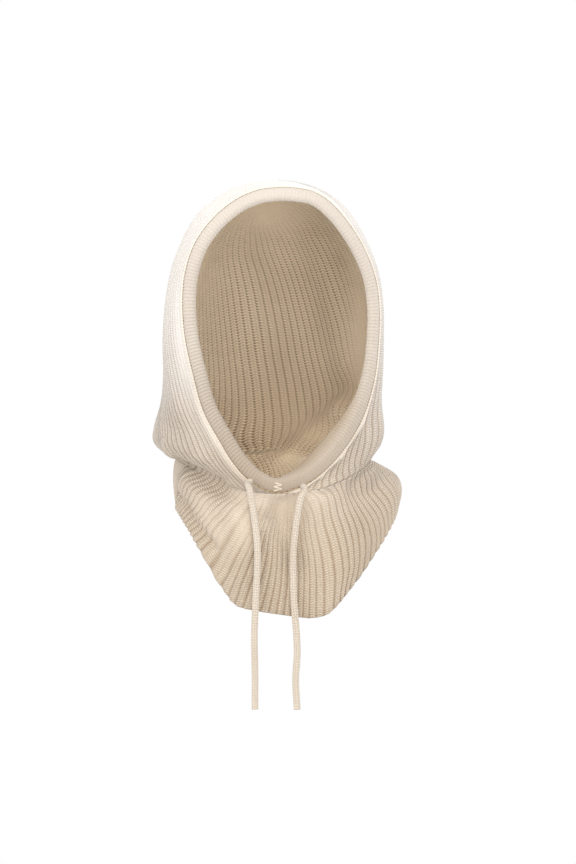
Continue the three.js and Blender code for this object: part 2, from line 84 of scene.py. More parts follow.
HOOD_COLUMNS = ("rim_left", "rim_right", "rim_lead", "rim_fall", "turn",
                "left", "right", "side_fall", "back", "back_fall", "mid")
HOOD_ROWS = [
    (0.02, 0.02, 0.74, 0.077, 30, 0.00, 0.00, 0.000, 0.78, 0.101, 0.00),
    (-0.10, 0.14, 0.74, 0.080, 30, -0.18, 0.18, 0.006, 0.79, 0.108, 0.00),
    (-0.225, 0.265, 0.735, 0.090, 31, -0.36, 0.37, 0.026, 0.83, 0.130, 0.00),
    (-0.39, 0.395, 0.72, 0.121, 32, -0.54, 0.55, 0.064, 0.88, 0.165, 0.00),
    (-0.57, 0.54, 0.69, 0.181, 34, -0.72, 0.71, 0.127, 0.93, 0.221, 0.00),
    (-0.72, 0.685, 0.65, 0.265, 36, -0.855, 0.85, 0.225, 0.98, 0.293, 0.00),
    (-0.80, 0.80, 0.60, 0.369, 38, -0.95, 0.955, 0.333, 1.02, 0.393, 0.00),
    (-0.816, 0.843, 0.575, 0.481, 39, -1.00, 1.00, 0.453, 1.04, 0.501, 0.00),
    (-0.79, 0.835, 0.58, 0.593, 40, -1.02, 1.005, 0.581, 1.03, 0.613, 0.00),
    (-0.722, 0.795, 0.62, 0.717, 38, -1.015, 1.00, 0.701, 0.99, 0.717, 0.00),
    (-0.64, 0.70, 0.695, 0.837, 34, -1.035, 0.99, 0.805, 0.92, 0.805, -0.01),
    (-0.51, 0.555, 0.79, 0.937, 28, -1.10, 1.015, 0.901, 0.84, 0.877, -0.02),
    (-0.385, 0.37, 0.88, 1.021, 22, -1.105, 0.99, 0.957, 0.77, 0.925, -0.04),
    (-0.24, 0.17, 0.95, 1.081, 17, -1.01, 0.92, 0.997, 0.71, 0.961, -0.06),
    (-0.07, -0.07, 0.98, 1.109, 14, -0.89, 0.89, 1.021, 0.69, 0.989, -0.07),
]
BIB_COLUMNS = ("front", "front_fall", "left", "right", "side_fall",
               "back", "back_fall", "mid", "bend")
BIB_ROWS = [
    (-0.02, 0.08, -0.85, 0.90, 0.055, 0.72, 0.014, -0.06, 0.0),
    (0.02, 0.26, -0.875, 1.07, 0.130, 0.86, 0.130, -0.02, 0.2),
    (0.06, 0.56, -0.875, 1.12, 0.220, 0.97, 0.400, 0.08, 0.7),
    (0.07, 1.00, -0.855, 1.08, 0.350, 1.08, 0.884, 0.19, 1.0),
]
CHIN = len(HOOD_ROWS) - 1
LAST = CHIN + len(BIB_ROWS)
NECK_LEVEL = KNIT_WALL - HOOD_HEIGHT
HEM_LEVEL = NECK_LEVEL - BIB_DROP
HEM_LEFT = (0.60, 0.15)
HEM_RIGHT = (0.20, 0.00)
HEM_SOFTNESS = 0.012


def section_table():
    half_width, half_depth = HOOD_WIDTH / 2, HOOD_DEPTH / 2
    rows = []
    for values in HOOD_ROWS:
        row = dict(zip(HOOD_COLUMNS, values))
        rows.append({
            "rim_left": row["rim_left"] * half_width,
            "rim_right": row["rim_right"] * half_width,
            "rim_y": -row["rim_lead"] * half_depth,
            "rim_z": KNIT_WALL - row["rim_fall"] * HOOD_HEIGHT,
            "turn": math.radians(row["turn"]),
            "left": row["left"] * half_width,
            "right": row["right"] * half_width,
            "side_z": KNIT_WALL - row["side_fall"] * HOOD_HEIGHT,
            "back_y": row["back"] * half_depth,
            "back_z": KNIT_WALL - row["back_fall"] * HOOD_HEIGHT,
            "mid": row["mid"] * half_width,
            "front": 0.0, "front_fall": 0.0, "bend": 0.0})
    for values in BIB_ROWS:
        row = dict(zip(BIB_COLUMNS, values))
        rows.append({
            "left": row["left"] * BIB_WIDTH / 2,
            "right": row["right"] * BIB_WIDTH / 2,
            "side_z": NECK_LEVEL - row["side_fall"] * BIB_DROP,
            "back_y": row["back"] * BIB_DEPTH / 2,
            "back_z": NECK_LEVEL - row["back_fall"] * BIB_DROP,
            "mid": row["mid"] * BIB_WIDTH / 2,
            "front": row["front"] * BIB_DEPTH / 2,
            "front_fall": row["front_fall"], "bend": row["bend"]})
    return rows


ROWS = section_table()
print("sections:", len(ROWS))

# %% [markdown]
# Between two rows a value follows a smooth curve. The rim of one side runs on
# into the rim of the other past the chin, and the crown mirrors, so no kink
# shows where the halves meet.

# %% Values between the rows
MIRRORED = {"rim_left": "rim_right", "rim_right": "rim_left",
            "left": "right", "right": "left"}


def row_value(index, key):
    is_rim = key.startswith("rim") or key == "turn"
    if index < 0:
        return ROWS[-index][MIRRORED.get(key, key)]
    if is_rim and index > CHIN:
        return ROWS[2 * CHIN - index][MIRRORED.get(key, key)]
    if index > LAST:
        return 2 * ROWS[LAST][key] - ROWS[2 * LAST - index][key]
    return ROWS[index][key]


def cubic(t, start, end, leave, arrive):
    """The way from start to end that leaves and arrives with these slopes."""
    return ((2 * t**3 - 3 * t**2 + 1) * start + (t**3 - 2 * t**2 + t) * leave
            + (3 * t**2 - 2 * t**3) * end + (t**3 - t**2) * arrive)


def value_at(place, key):
    low = math.floor(place)
    a, b = row_value(low, key), row_value(low + 1, key)
    leave = (b - row_value(low - 1, key)) / 2
    arrive = (row_value(low + 2, key) - a) / 2
    return cubic(place - low, a, b, leave, arrive)


print("the tunnel leans back, degrees:", round(math.degrees(value_at(8.0, "turn")), 1))

# %% [markdown]
# The cloth and the cords are worked out as rows of points, so a few helpers
# serve the whole script: a soft step, vectors of length 1, the length of a row
# of points, points picked along it, and rings of points round it.

# %% Helpers for rows of points
TINY = 1e-12


def ease(share):
    """A soft step from 0 to 1."""
    return share * share * (3 - 2 * share)


def unit(vectors):
    length = np.linalg.norm(vectors, axis=-1, keepdims=True)
    return vectors / np.maximum(length, TINY)


def run_lengths(points):
    """Length of the way from the first point to each point."""
    steps = np.linalg.norm(np.diff(points, axis=0), axis=-1)
    return np.concatenate([np.zeros((1, *steps.shape[1:])), np.cumsum(steps, axis=0)])


def points_at(at, lengths, points):
    """Points of a row at these lengths along it."""
    return np.stack([np.interp(at, lengths, points[:, i]) for i in range(3)], axis=-1)


def full_turn(sides):
    """Angles of the sides of a ring, with the first one again at the end."""
    return 2 * math.pi * np.arange(sides + 1) / sides


def tube_points(line, side, up, radius, turn):
    """Rings of points round a line."""
    return (line[:, None] + side[:, None] * (np.cos(turn) * radius)[..., None]
            + up[:, None] * (np.sin(turn) * radius)[..., None])


def closed_ends(rings):
    """Rings of points, with one more at each end that is drawn to its middle."""
    ends = [np.repeat(ring.mean(0)[None, None], rings.shape[1], axis=1)
            for ring in (rings[0], rings[-1])]
    return np.concatenate([ends[0], rings, ends[1]])


# %% [markdown]
# The rim frame says where the tunnel runs on one side of the face: its middle,
# the way in which the hood leaves it and the way that its front faces.

# %% Frame of the rim
def rim_middle(place, side):
    key = "rim_left" if side < 0 else "rim_right"
    return np.array([value_at(place, key), value_at(place, "rim_y"),
                     value_at(place, "rim_z")])


def rim_frame(place, side):
    step = 0.02
    if place < step:
        before = rim_middle(step - place, -side)
    else:
        before = rim_middle(place - step, side)
    along = unit(rim_middle(place + step, side) - before)
    turn = value_at(place, "turn")
    flat = unit(np.array([-along[2] * side, 0.0, along[0] * side]))
    outward = flat * math.cos(turn) + np.array([0.0, math.sin(turn), 0.0])
    outward = unit(outward - along * outward.dot(along))
    front = unit(np.cross(outward, along))
    if front[1] > 0:
        front = -front
    return rim_middle(place, side), outward, front


def rim_edge(place, side):
    middle, outward, front = rim_frame(place, side)
    return middle + outward * (TUNNEL_WIDTH / 2 + SEAT_GAP) + front * KNIT_WALL / 2


CHIN_EDGE = rim_edge(CHIN, 1)
print("chin edge", CHIN_EDGE.round(4))


# %% [markdown]
# One section is a rounded oval, open at the face. Its edge climbs from the
# front and the back to the sides, and the hem's front has two corners, as the
# bib hangs in the picture.

# %% One section of the knit
FRONT_STEPS, BACK_STEPS = 28, 44
# These keep the crown's narrow front from a division by nothing
EDGE_GUARD, REACH_GUARD = 0.000012, 0.00002
WIDEST_FRONT = 0.97


def hem_climb(across, side):
    corner, slope = HEM_LEFT if side < 0 else HEM_RIGHT

    def ramp(share):
        past = (share - corner) / (1 - corner)
        return (past + np.sqrt(past * past + HEM_SOFTNESS)) / 2
    rise = (ramp(across) - ramp(0.0)) / (ramp(1.0) - ramp(0.0))
    return slope * across + (1 - slope) * rise


def oval(angle):
    """How far across and how deep the oval is, at an angle from its side."""
    return (np.maximum(np.cos(angle), 0.0) ** (2 / ROUNDNESS),
            np.sin(angle) ** (2 / ROUNDNESS))


def half_section(place, side):
    """One side of a section, from its front edge to the middle of the back."""
    mid, side_z = value_at(place, "mid"), value_at(place, "side_z")
    back_y, back_z = value_at(place, "back_y"), value_at(place, "back_z")
    bend = max(value_at(place, "bend"), 0.0)
    side_y = SIDE_LEAD * HOOD_DEPTH / 2
    reach = abs(value_at(place, "left" if side < 0 else "right") - mid)
    front_share = 0.0
    front_depth = side_y - CHIN_EDGE[1] + value_at(place, "front")
    edge_z = CHIN_EDGE[2] + (HEM_LEVEL - CHIN_EDGE[2]) * value_at(place, "front_fall")
    if place < CHIN:
        edge = rim_edge(place, side)
        off = max((edge[0] - mid) * side, 0.0)
        front_share = min((off + EDGE_GUARD) / (reach + REACH_GUARD), WIDEST_FRONT)
        front_depth = (side_y - edge[1]) / (1 - front_share**ROUNDNESS) ** (1 / ROUNDNESS)
        edge_z = edge[2]
    start = math.acos(front_share ** (ROUNDNESS / 2))
    foot = front_share**CLIMB
    across, deep = oval(start * (1 - np.arange(FRONT_STEPS) / FRONT_STEPS))
    swept = (across**CLIMB - foot) / (1 - foot)
    climb = swept + (hem_climb(across, side) - swept) * bend
    front_part = np.stack([mid + side * reach * across, side_y - front_depth * deep,
                           edge_z + (side_z - edge_z) * climb], axis=1)
    across, deep = oval((math.pi / 2) * np.arange(BACK_STEPS + 1) / BACK_STEPS)
    back_part = np.stack([mid + side * reach * across, side_y + (back_y - side_y) * deep,
                          back_z + (side_z - back_z) * across**CLIMB], axis=1)
    return np.concatenate([front_part, back_part])


def along_section(place, shares):
    """Points at these shares of a section's length, from the left rim to the right."""
    points = np.concatenate([half_section(place, -1), half_section(place, 1)[::-1][1:]])
    lengths = run_lengths(points)
    return points_at(np.asarray(shares) * lengths[-1], lengths, points)


print("widest section:", along_section(8, [0.25, 0.75]).round(3).tolist())

# %% [markdown]
# Folds and dents push the knit out or in, most on a line over the shell and
# less with the distance from it. The nape roll and the main folds are in the
# CAD model too. The neck pocket and the soft folds are only here, because only
# a thin fabric shows them. Most folds push along the knit's normal. Behind the
# neck the rows lie close, so there the knit is pushed level, and rows never
# cross.

# %% Folds
# Name, push, spread above and spread below, all as shares of half the hood's
# width, and the line: shares across and places from the crown
LEVEL_FOLDS = [
    ("nape roll", -0.21, 0.13, 0.30,
     [(0.51, 15.4), (0.56, 13.8), (0.615, 12.0), (0.69, 10.4)]),
    ("neck pocket", 0.20, 0.22, 0.26, [(0.37, 14.4), (0.44, 14.8)]),
]
MAIN_FOLDS = [
    ("inner side fold", -0.05, 0.12, 0.12,
     [(0.63, 4.0), (0.65, 5.6), (0.67, 7.4), (0.69, 8.6)]),
    ("left lip", 0.045, 0.12, 0.06, [(0.15, 12.3), (0.10, 12.8), (0.05, 13.3)]),
    ("left tuck", -0.06, 0.06, 0.10, [(0.17, 14.4), (0.11, 14.7), (0.06, 14.9)]),
    ("front valley", -0.06, 0.11, 0.11, [(0.985, 14.4), (0.995, 15.6), (1.0, 17.0)]),
    ("left billow", 0.055, 0.13, 0.13, [(0.06, 15.2), (0.06, 16.5), (0.075, 17.5)]),
    ("right drape", 0.035, 0.15, 0.15, [(0.93, 14.8), (0.93, 16.2), (0.935, 17.5)]),
]
SOFT_FOLDS = [
    ("lip edge", 0.025, 0.08, 0.04, [(0.125, 11.7), (0.09, 11.9), (0.06, 12.1)]),
    ("lip shadow", -0.08, 0.05, 0.13,
     [(0.14, 12.9), (0.10, 13.05), (0.07, 13.3)]),
    ("hem roll", 0.025, 0.05, 0.06, [(0.25, 17.85), (0.19, 17.85), (0.11, 17.85)]),
    ("hem tuck", -0.050, 0.045, 0.045, [(0.25, 17.25), (0.20, 17.25), (0.12, 17.3)]),
    ("front ripple", -0.025, 0.05, 0.05, [(0.03, 16.0), (0.045, 17.0)]),
    ("chin hollow", -0.09, 0.08, 0.18, [(0.99, 14.8), (0.995, 15.4)]),
]
RIM_MARGIN = 0.011
HOOD_AXIS = np.array([-0.006, 0.0, 0.0])
LEVEL_REACH = 0.03


def fold_push(points, folds):
    """How far these folds push each point, out or in."""
    total = np.zeros(points.shape[:-1])
    for _, push, upper, lower, line in folds:
        knots = [along_section(place, [across])[0] for across, place in line]
        nearest = np.full(points.shape[:-1], np.inf)
        tilt = np.zeros(points.shape[:-1])
        for start, end in zip(knots[:-1], knots[1:]):
            run = end - start
            share = np.clip(((points - start) @ run) / run.dot(run), 0, 1)
            away = points - start - share[..., None] * run
            far = np.linalg.norm(away, axis=-1)
            tilt = np.where(far < nearest, away[..., 2] / np.maximum(far, TINY), tilt)
            nearest = np.minimum(nearest, far)
        # 1 straight above the line and 0 straight below it
        above = ease((tilt + 1) / 2)
        spread = (lower + (upper - lower) * above) * HOOD_WIDTH / 2
        total += push * HOOD_WIDTH / 2 * np.exp(-(nearest / spread) ** 2)
    return total


print("folds:", [fold[0] for fold in LEVEL_FOLDS + MAIN_FOLDS + SOFT_FOLDS])

# %% [markdown]
# The ribs of the knit run down the hood, but not side by side everywhere. Some
# end at the tunnel's seam, and they crowd where the fabric folds. The table
# follows seventeen of them: at each place, the share of the section's length.

# %% Flow of the ribs
RIBS = 95
RIB_LINES = {
    0: [(0, 0), (14, 0), (14.8, 0.004), (15.8, 0.022), (16.4, 0.037), (17.2, 0.06),
        (18, 0.087)],
    2: [(0, 2 / RIBS), (6, 0.024), (8, 0.02), (10, 0.012), (11, 0.01), (12.5, 0.011),
        (14, 0.017), (14.9, 0.022), (15.9, 0.036), (16.5, 0.053), (17.2, 0.08), (18, 0.112)],
    4: [(0, 4 / RIBS), (2, 0.05), (6, 0.05), (8, 0.045), (10, 0.03), (11, 0.024),
        (12.5, 0.026), (14, 0.042), (14.8, 0.05), (16, 0.078), (16.5, 0.1), (17.2, 0.13),
        (18, 0.163)],
    8: [(0, 8 / RIBS), (2, 0.1), (4, 0.105), (6, 0.108), (8, 0.105), (10, 0.085), (11, 0.07),
        (12.5, 0.07), (13.3, 0.076), (14, 0.084), (14.8, 0.091), (15.7, 0.112),
        (16.5, 0.136), (17.2, 0.168), (18, 0.2)],
    16: [(0, 16 / RIBS), (2, 0.185), (4, 0.195), (6, 0.2), (8, 0.195), (10, 0.175),
         (11, 0.165), (12.5, 0.168), (14, 0.185), (15.5, 0.205), (16.8, 0.235), (18, 0.265)],
    38: [(0, 38 / RIBS), (2, 0.39), (4, 0.385), (6, 0.406), (8, 0.428), (10, 0.446),
         (11, 0.455), (12.5, 0.455), (13.3, 0.452), (14, 0.448), (15, 0.44), (18, 0.445)],
    46: [(0, 46 / RIBS), (2, 0.485), (4, 0.503), (6, 0.536), (8, 0.564), (10, 0.584),
         (11, 0.588), (12.5, 0.575), (13.3, 0.555), (14, 0.535), (15, 0.51), (18, 0.515)],
    54: [(0, 54 / RIBS), (2, 0.58), (4, 0.61), (6, 0.643), (8, 0.683), (10, 0.71), (11, 0.7),
         (12.5, 0.66), (13.3, 0.63), (14, 0.605), (15, 0.585), (18, 0.59)],
    66: [(0, 66 / RIBS), (2, 0.75), (4, 0.78), (6, 0.82), (8, 0.84), (10, 0.83), (11, 0.82),
         (12.5, 0.79), (14, 0.755), (15.4, 0.75), (16.5, 0.77), (18, 0.775)],
    69: [(0, 69 / RIBS), (2, 0.8), (4, 0.85), (6, 0.88), (8, 0.885), (10, 0.865),
         (11, 0.848), (12.5, 0.815), (14, 0.775), (15.1, 0.778), (15.8, 0.797), (18, 0.81)],
    72: [(0, 72 / RIBS), (2, 0.86), (4, 0.94), (6, 0.955), (8, 0.945), (10, 0.91),
         (11.1, 0.88), (12.5, 0.845), (14, 0.805), (15.1, 0.818), (15.8, 0.846),
         (18, 0.845)],
    75.5: [(0, 75.5 / RIBS), (2, 0.93), (4, 0.992), (6, 0.996), (9, 0.996), (10.2, 0.99),
           (11.1, 0.965), (12.2, 0.93), (14.1, 0.85), (15.2, 0.873), (15.7, 0.88),
           (17.4, 0.882), (18, 0.89)],
    78.7: [(0, 78.7 / RIBS), (2, 0.97), (4, 0.997), (11.2, 0.997), (11.8, 0.985),
           (12.7, 0.955), (14, 0.9), (15, 0.897), (15.9, 0.907), (16.5, 0.911),
           (17.5, 0.922), (18, 0.938)],
    81.5: [(0, 81.5 / RIBS), (2, 0.985), (4, 0.998), (12.2, 0.998), (12.7, 0.99),
           (14, 0.943), (15.1, 0.93), (16, 0.938), (17.5, 0.95), (18, 0.963)],
    83.4: [(0, 83.4 / RIBS), (2, 0.99), (4, 0.9985), (12.8, 0.9985), (13.3, 0.988),
           (14, 0.966), (15.6, 0.957), (16.3, 0.963), (17.2, 0.972), (18, 0.986)],
    89: [(0, 89 / RIBS), (2, 0.996), (4, 0.9993), (13.2, 0.9993), (14, 0.986), (14.8, 0.981),
         (15.8, 0.989), (16.4, 0.999), (17.2, 1.012), (18, 1.028)],
    92: [(0, 92 / RIBS), (2, 0.998), (4, 0.9997), (13.2, 0.9997), (14, 0.993), (14.8, 0.992),
         (15.8, 1.006), (16.4, 1.018), (17.2, 1.034), (18, 1.055)],
}
RIB_LINES[RIBS] = [(place, 1 + share) for place, share in RIB_LINES[0]]


def smooth_through(at, knots, values):
    """A curve through the knots that never runs past them."""
    knots, values = np.asarray(knots, float), np.asarray(values, float)
    gaps = np.diff(knots)
    rises = np.diff(values) / gaps
    slopes = np.zeros(len(knots))
    same_way = rises[:-1] * rises[1:] > 0
    safe = np.where(same_way, rises[:-1] + rises[1:], 1.0)
    slopes[1:-1] = np.where(same_way, 2 * rises[:-1] * rises[1:] / safe, 0.0)
    slopes[0], slopes[-1] = rises[0], rises[-1]
    i = np.clip(np.searchsorted(knots, at, side="right") - 1, 0, len(gaps) - 1)
    return cubic((at - knots[i]) / gaps[i], values[i], values[i + 1],
                 slopes[i] * gaps[i], slopes[i + 1] * gaps[i])


def rib_shares(place, ribs):
    """Where these ribs cross the section at a place, as shares of its length."""
    at = [smooth_through(np.array([place]), *zip(*line))[0] for line in RIB_LINES.values()]
    return smooth_through(ribs, list(RIB_LINES), at)


print("ribs cross the widest section at", rib_shares(8, np.array([8.0, 46.0])).round(3))


# %% [markdown]
# Normals are worked out on the smooth shell, before the ribs rise from it. The
# wall's inner face is then offset along smooth directions, and the ribs on the
# two faces never run into each other.

# %% Normals of the smooth shell
CHIN_REACH = 0.016
CHIN_FRONT = rim_frame(CHIN, 1)[2]


def grid_normals(grid, chin_row):
    east = np.concatenate([grid[:, 1:], grid[:, -1:]], axis=1)
    west = np.concatenate([grid[:, :1], grid[:, :-1]], axis=1)
    east[chin_row:, -1] = grid[chin_row:, 1]
    west[chin_row:, 0] = grid[chin_row:, -2]
    south = np.concatenate([grid[1:], grid[-1:]])
    north = np.concatenate([grid[1:2, ::-1], grid[:-1]])
    normals = unit(np.cross(east - west, south - north))
    middle = (grid.shape[1] - 1) // 2
    normals[0, middle] = normals[1, middle]
    normals[0] = unit(normals[0] + normals[0, ::-1])
    both = unit(normals[chin_row:, 0] + normals[chin_row:, -1])
    normals[chin_row:, 0] = both
    normals[chin_row:, -1] = both
    # Many rows meet at the chin, so the normals there are the rim's own
    far = np.linalg.norm(grid - CHIN_EDGE, axis=-1, keepdims=True) / CHIN_REACH
    own = ease(np.clip(far, 0, 1))
    return unit(normals * own + CHIN_FRONT * (1 - own))


def join_rows(grid, chin_row):
    """The crown seam and the front of the bib are joined edges."""
    grid[0] = (grid[0] + grid[0, ::-1]) / 2
    both = (grid[chin_row:, 0] + grid[chin_row:, -1]) / 2
    grid[chin_row:, 0] = both
    grid[chin_row:, -1] = both


print("the chin faces", CHIN_FRONT.round(3))

# %% [markdown]
# The folds are pushed on an even grid, where neighbours never crowd. The rows
# of the knit are then picked from it, with five columns to a rib. So a rib is a
# real ridge in the mesh, and a row every 4 mm or so follows the sections.

# %% Smooth shell of the hood
COLUMNS_PER_RIB = 5
COLUMNS = RIBS * COLUMNS_PER_RIB
EVEN_COLUMNS = 640
HOOD_STEPS, BIB_STEPS = 71, 31
places = np.concatenate([np.linspace(0, CHIN, HOOD_STEPS + 1),
                         np.linspace(CHIN, LAST, BIB_STEPS + 1)[1:]])
CHIN_ROW = HOOD_STEPS
ribs_at = np.arange(COLUMNS + 1) / COLUMNS_PER_RIB
even = np.arange(EVEN_COLUMNS + 1) / EVEN_COLUMNS
shares = np.array([rib_shares(place, ribs_at) for place in places])

even_shell = np.array([along_section(place, even) for place in places])
join_rows(even_shell, CHIN_ROW)
behind = np.clip(even_shell[..., 1:2] / LEVEL_REACH, 0, 1)
level_out = unit((even_shell - HOOD_AXIS) * np.array([1.0, 1.0, 0.0]))
even_shell += level_out * behind * fold_push(even_shell, LEVEL_FOLDS)[..., None]
push = fold_push(even_shell, MAIN_FOLDS + SOFT_FOLDS)
rim_line = np.concatenate([even_shell[:CHIN_ROW + 1, 0], even_shell[:CHIN_ROW + 1, -1]])
for row, points in enumerate(even_shell):
    # No fold lifts the knit from the tunnel that it is sewn to
    far = np.linalg.norm(points[:, None] - rim_line[None], axis=-1).min(axis=1)
    push[row] *= ease(np.clip(far / RIM_MARGIN, 0, 1))
even_shell += grid_normals(even_shell, CHIN_ROW) * push[..., None]
join_rows(even_shell, CHIN_ROW)


def at_ribs(grid):
    """Values of the even grid where the ribs cross each row."""
    rows = []
    for row, at in enumerate(shares):
        # Below the chin a section is a closed ring, so shares may run past its front
        at = np.mod(at, 1.0) if row > CHIN_ROW else at
        rows.append(points_at(at, even, grid[row]))
    return np.array(rows)


shell = at_ribs(even_shell)
normals = unit(at_ribs(grid_normals(even_shell, CHIN_ROW)))
join_rows(shell, CHIN_ROW)
print("shell", shell.shape, shell.min((0, 1)).round(4), shell.max((0, 1)).round(4))

# %% [markdown]
# A rib is a rounded ridge with a narrow groove on each side. Its height follows
# its width, so ribs that crowd at a seam fade into it. The inner face has ribs
# of its own, about half a rib further on, as on a real rib knit.

# %% Ribs
RIB_HEIGHT = 0.0015
RIB_SLOPE = 0.22
RIB_ROUNDNESS = 0.95
INSIDE_SHIFT = 0.4
# The ribs are gone where the pitch is this small, and stand full from the second
GONE_PITCH, FULL_PITCH = 0.0018, 0.0040
# Under the chin the knit is pressed thin behind the tunnel: the distances where
# it is thinnest and where it is free, and the share of its thickness left there
PRESSED_REACH, FREE_REACH, PRESSED_SHARE = 0.02, 0.07, 0.2

# Where the knit is pulled smooth: face, share across, place, spreads, strength.
# The one below 0 is a place where the ribs stand out more, and their painted groove shade is
# darker there too.
FADES = [
    ("inside", 0.29, 4.0, 0.09, 4.0, 0.90),
    ("inside", 0.75, 8.0, 0.05, 4.0, 0.80),
    ("inside", 0.46, 0.0, 0.35, 3.4, 1.00),
    ("inside", 0.66, 12.2, 0.10, 1.5, 0.65),
    ("inside", 0.54, 15.0, 0.09, 1.2, 0.60),
    ("inside", 0.42, 13.2, 0.07, 1.7, -0.90),
    ("outside", 0.97, 14.6, 0.05, 0.9, 0.75),
    ("outside", 0.02, 14.6, 0.05, 0.9, 0.75),
    ("outside", 0.02, 8.0, 0.03, 2.5, 0.50),
    ("outside", 0.50, 0.0, 0.60, 4.5, 0.65),
    ("outside", 0.05, 16.2, 0.025, 0.8, 0.55),
    ("outside", 0.12, 16.6, 0.040, 0.8, 0.40),
    ("outside", 0.995, 15.4, 0.030, 1.3, 0.55),
]

pitch = np.zeros(shell.shape[:2])
steps = np.linalg.norm(np.diff(shell, axis=1), axis=-1)
pitch[:, 1:-1] = (steps[:, 1:] + steps[:, :-1]) / 2 * COLUMNS_PER_RIB
pitch[:, 0], pitch[:, -1] = pitch[:, 1], pitch[:, -2]
phase = ribs_at % 1.0


def rib_strength(face):
    """1 where the ribs stand full, less where they crowd or the knit is pulled smooth."""
    strength = np.clip((pitch - GONE_PITCH) / (FULL_PITCH - GONE_PITCH), 0, 1)
    for side, across_at, place_at, spread_across, spread_place, share in FADES:
        if side == face:
            near = np.exp(-((shares - across_at) / spread_across) ** 2
                          - ((places[:, None] - place_at) / spread_place) ** 2)
            strength = strength * (1 - share * near)
    return strength


def groove_depth(shift, strength):
    """How deep the knit lies below its ridges."""
    height = np.minimum(RIB_HEIGHT, RIB_SLOPE * pitch) * strength * fullness
    ridge = np.abs(np.sin(math.pi * (phase + shift))) ** RIB_ROUNDNESS
    return height * (1 - ridge)


from_chin = np.clip((np.linalg.norm(shell - CHIN_EDGE, axis=-1) - PRESSED_REACH)
                    / (FREE_REACH - PRESSED_REACH), 0, 1)
fullness = PRESSED_SHARE + (1 - PRESSED_SHARE) * ease(from_chin)
strength_out, strength_in = rib_strength("outside"), rib_strength("inside")
outer = shell - normals * groove_depth(0.0, strength_out)[..., None]
inner = shell - normals * (KNIT_WALL * fullness
                           - groove_depth(INSIDE_SHIFT, strength_in))[..., None]
for sheet in (outer, inner):
    join_rows(sheet, CHIN_ROW)
print("mean rib pitch, mm:", (pitch.mean() / MM).round(2))

# %% [markdown]
# Cloth is made as a grid: one operator makes it, and each of its vertices is
# then set to a place worked out from the sections. Its UV map holds rib numbers
# across and courses of stitches down, which the material reads. Welding closes
# the seams and the poles, and every piece of the knit goes through both steps.

# %% Helpers for grids
WELD_DISTANCE, FINE_WELD, SLIVER = 1e-5, 1e-6, 1e-7


def grid_object(name, points, across, down, **marks):
    """A mesh from a grid operator, with its place and its UV map set from arrays."""
    rows, columns = points.shape[:2]
    bm = bmesh.new()
    bmesh.ops.create_grid(bm, x_segments=columns - 1, y_segments=rows - 1,
                          size=1.0, calc_uvs=False)
    bm.verts.ensure_lookup_table()
    order = np.array([(round((v.co.y + 1) / 2 * (rows - 1)),
                       round((v.co.x + 1) / 2 * (columns - 1))) for v in bm.verts])
    mesh = bpy.data.meshes.new(name)
    bm.to_mesh(mesh)
    bm.free()
    placed = points[order[:, 0], order[:, 1]]
    mesh.vertices.foreach_set("co", placed.astype(np.float32).ravel())
    corners = np.zeros(len(mesh.loops), np.int32)
    mesh.loops.foreach_get("vertex_index", corners)
    uv = np.stack([across[order[corners, 0], order[corners, 1]],
                   down[order[corners, 0], order[corners, 1]]], axis=1)
    layer = mesh.uv_layers.new(name="knit")
    layer.data.foreach_set("uv", uv.astype(np.float32).ravel())
    for mark, usual in (("depth", 1.0), ("inside", 0.0)):
        values = np.broadcast_to(marks.get(mark, usual), points.shape[:2])
        attribute = mesh.attributes.new(mark, "FLOAT", "POINT")
        attribute.data.foreach_set("value",
                                   values[order[:, 0], order[:, 1]].astype(np.float32))
    mesh.update()
    thing = bpy.data.objects.new(name, mesh)
    bpy.context.scene.collection.objects.link(thing)
    return thing


def weld(thing, distance=WELD_DISTANCE):
    """Close the seams of a mesh, turn its faces outwards and count its triangles."""
    bm = bmesh.new()
    bm.from_mesh(thing.data)
    bmesh.ops.remove_doubles(bm, verts=bm.verts[:], dist=distance)
    bmesh.ops.dissolve_degenerate(bm, edges=bm.edges[:], dist=SLIVER)
    bmesh.ops.recalc_face_normals(bm, faces=bm.faces[:])
    open_edges = sum(1 for e in bm.edges if not e.is_manifold)
    bm.to_mesh(thing.data)
    bm.free()
    thing.data.shade_smooth()
    triangles = sum(len(p.vertices) - 2 for p in thing.data.polygons)
    print(f"{thing.name}: {triangles} triangles, {open_edges} open edges")
    return thing


# %% [markdown]
# The hood is one long grid. It runs down the outer face, round the hem and up
# the inner face, and then the crown seam, the chin and the rim are welded. That
# gives a closed wall with one operator and no hand-made faces.

# %% Knit hood
COURSE = 0.0022
INSIDE_COURSE = 0.0027
# How far the hem's edge bulges, as a share of the wall, and its courses
HEM_BULGE, HEM_COURSES = 0.3, 0.7

hem_middle = ((outer[-1] + inner[-1]) / 2
              + unit(outer[-1] - outer[-2]) * KNIT_WALL * HEM_BULGE)
rim_rows = slice(0, CHIN_ROW + 1)
for column in (0, -1):
    middle = (outer[rim_rows, column] + inner[rim_rows, column]) / 2
    outer[rim_rows, column] = middle
    inner[rim_rows, column] = middle
knit_points = np.concatenate([outer, hem_middle[None], inner[::-1]])

# Stitches down each column are counted from the chin's row
lengths_down = run_lengths(shell)
courses = (lengths_down - lengths_down[CHIN_ROW]) / COURSE
inside_courses = courses[-1:] + (courses[::-1] - courses[-1:]) * COURSE / INSIDE_COURSE
down = np.concatenate([courses, courses[-1:] + HEM_COURSES, inside_courses])
outside_ribs = np.repeat(ribs_at[None], len(outer) + 1, axis=0)
inside_ribs = np.repeat(ribs_at[None] + INSIDE_SHIFT, len(inner), axis=0)
across = np.concatenate([outside_ribs, inside_ribs])
# The rib strength also sets how dark the painted shade of the grooves is
depth = np.concatenate([strength_out, strength_out[-1:], strength_in[::-1]])
inside = np.zeros(depth.shape)
# The inside mark carries a painted shade tint on the inner face, full away from the chin
inside[len(outer) + 1:] = from_chin[::-1]
knit_hood = weld(grid_object("knit_hood", knit_points, across, down,
                             depth=depth, inside=inside))

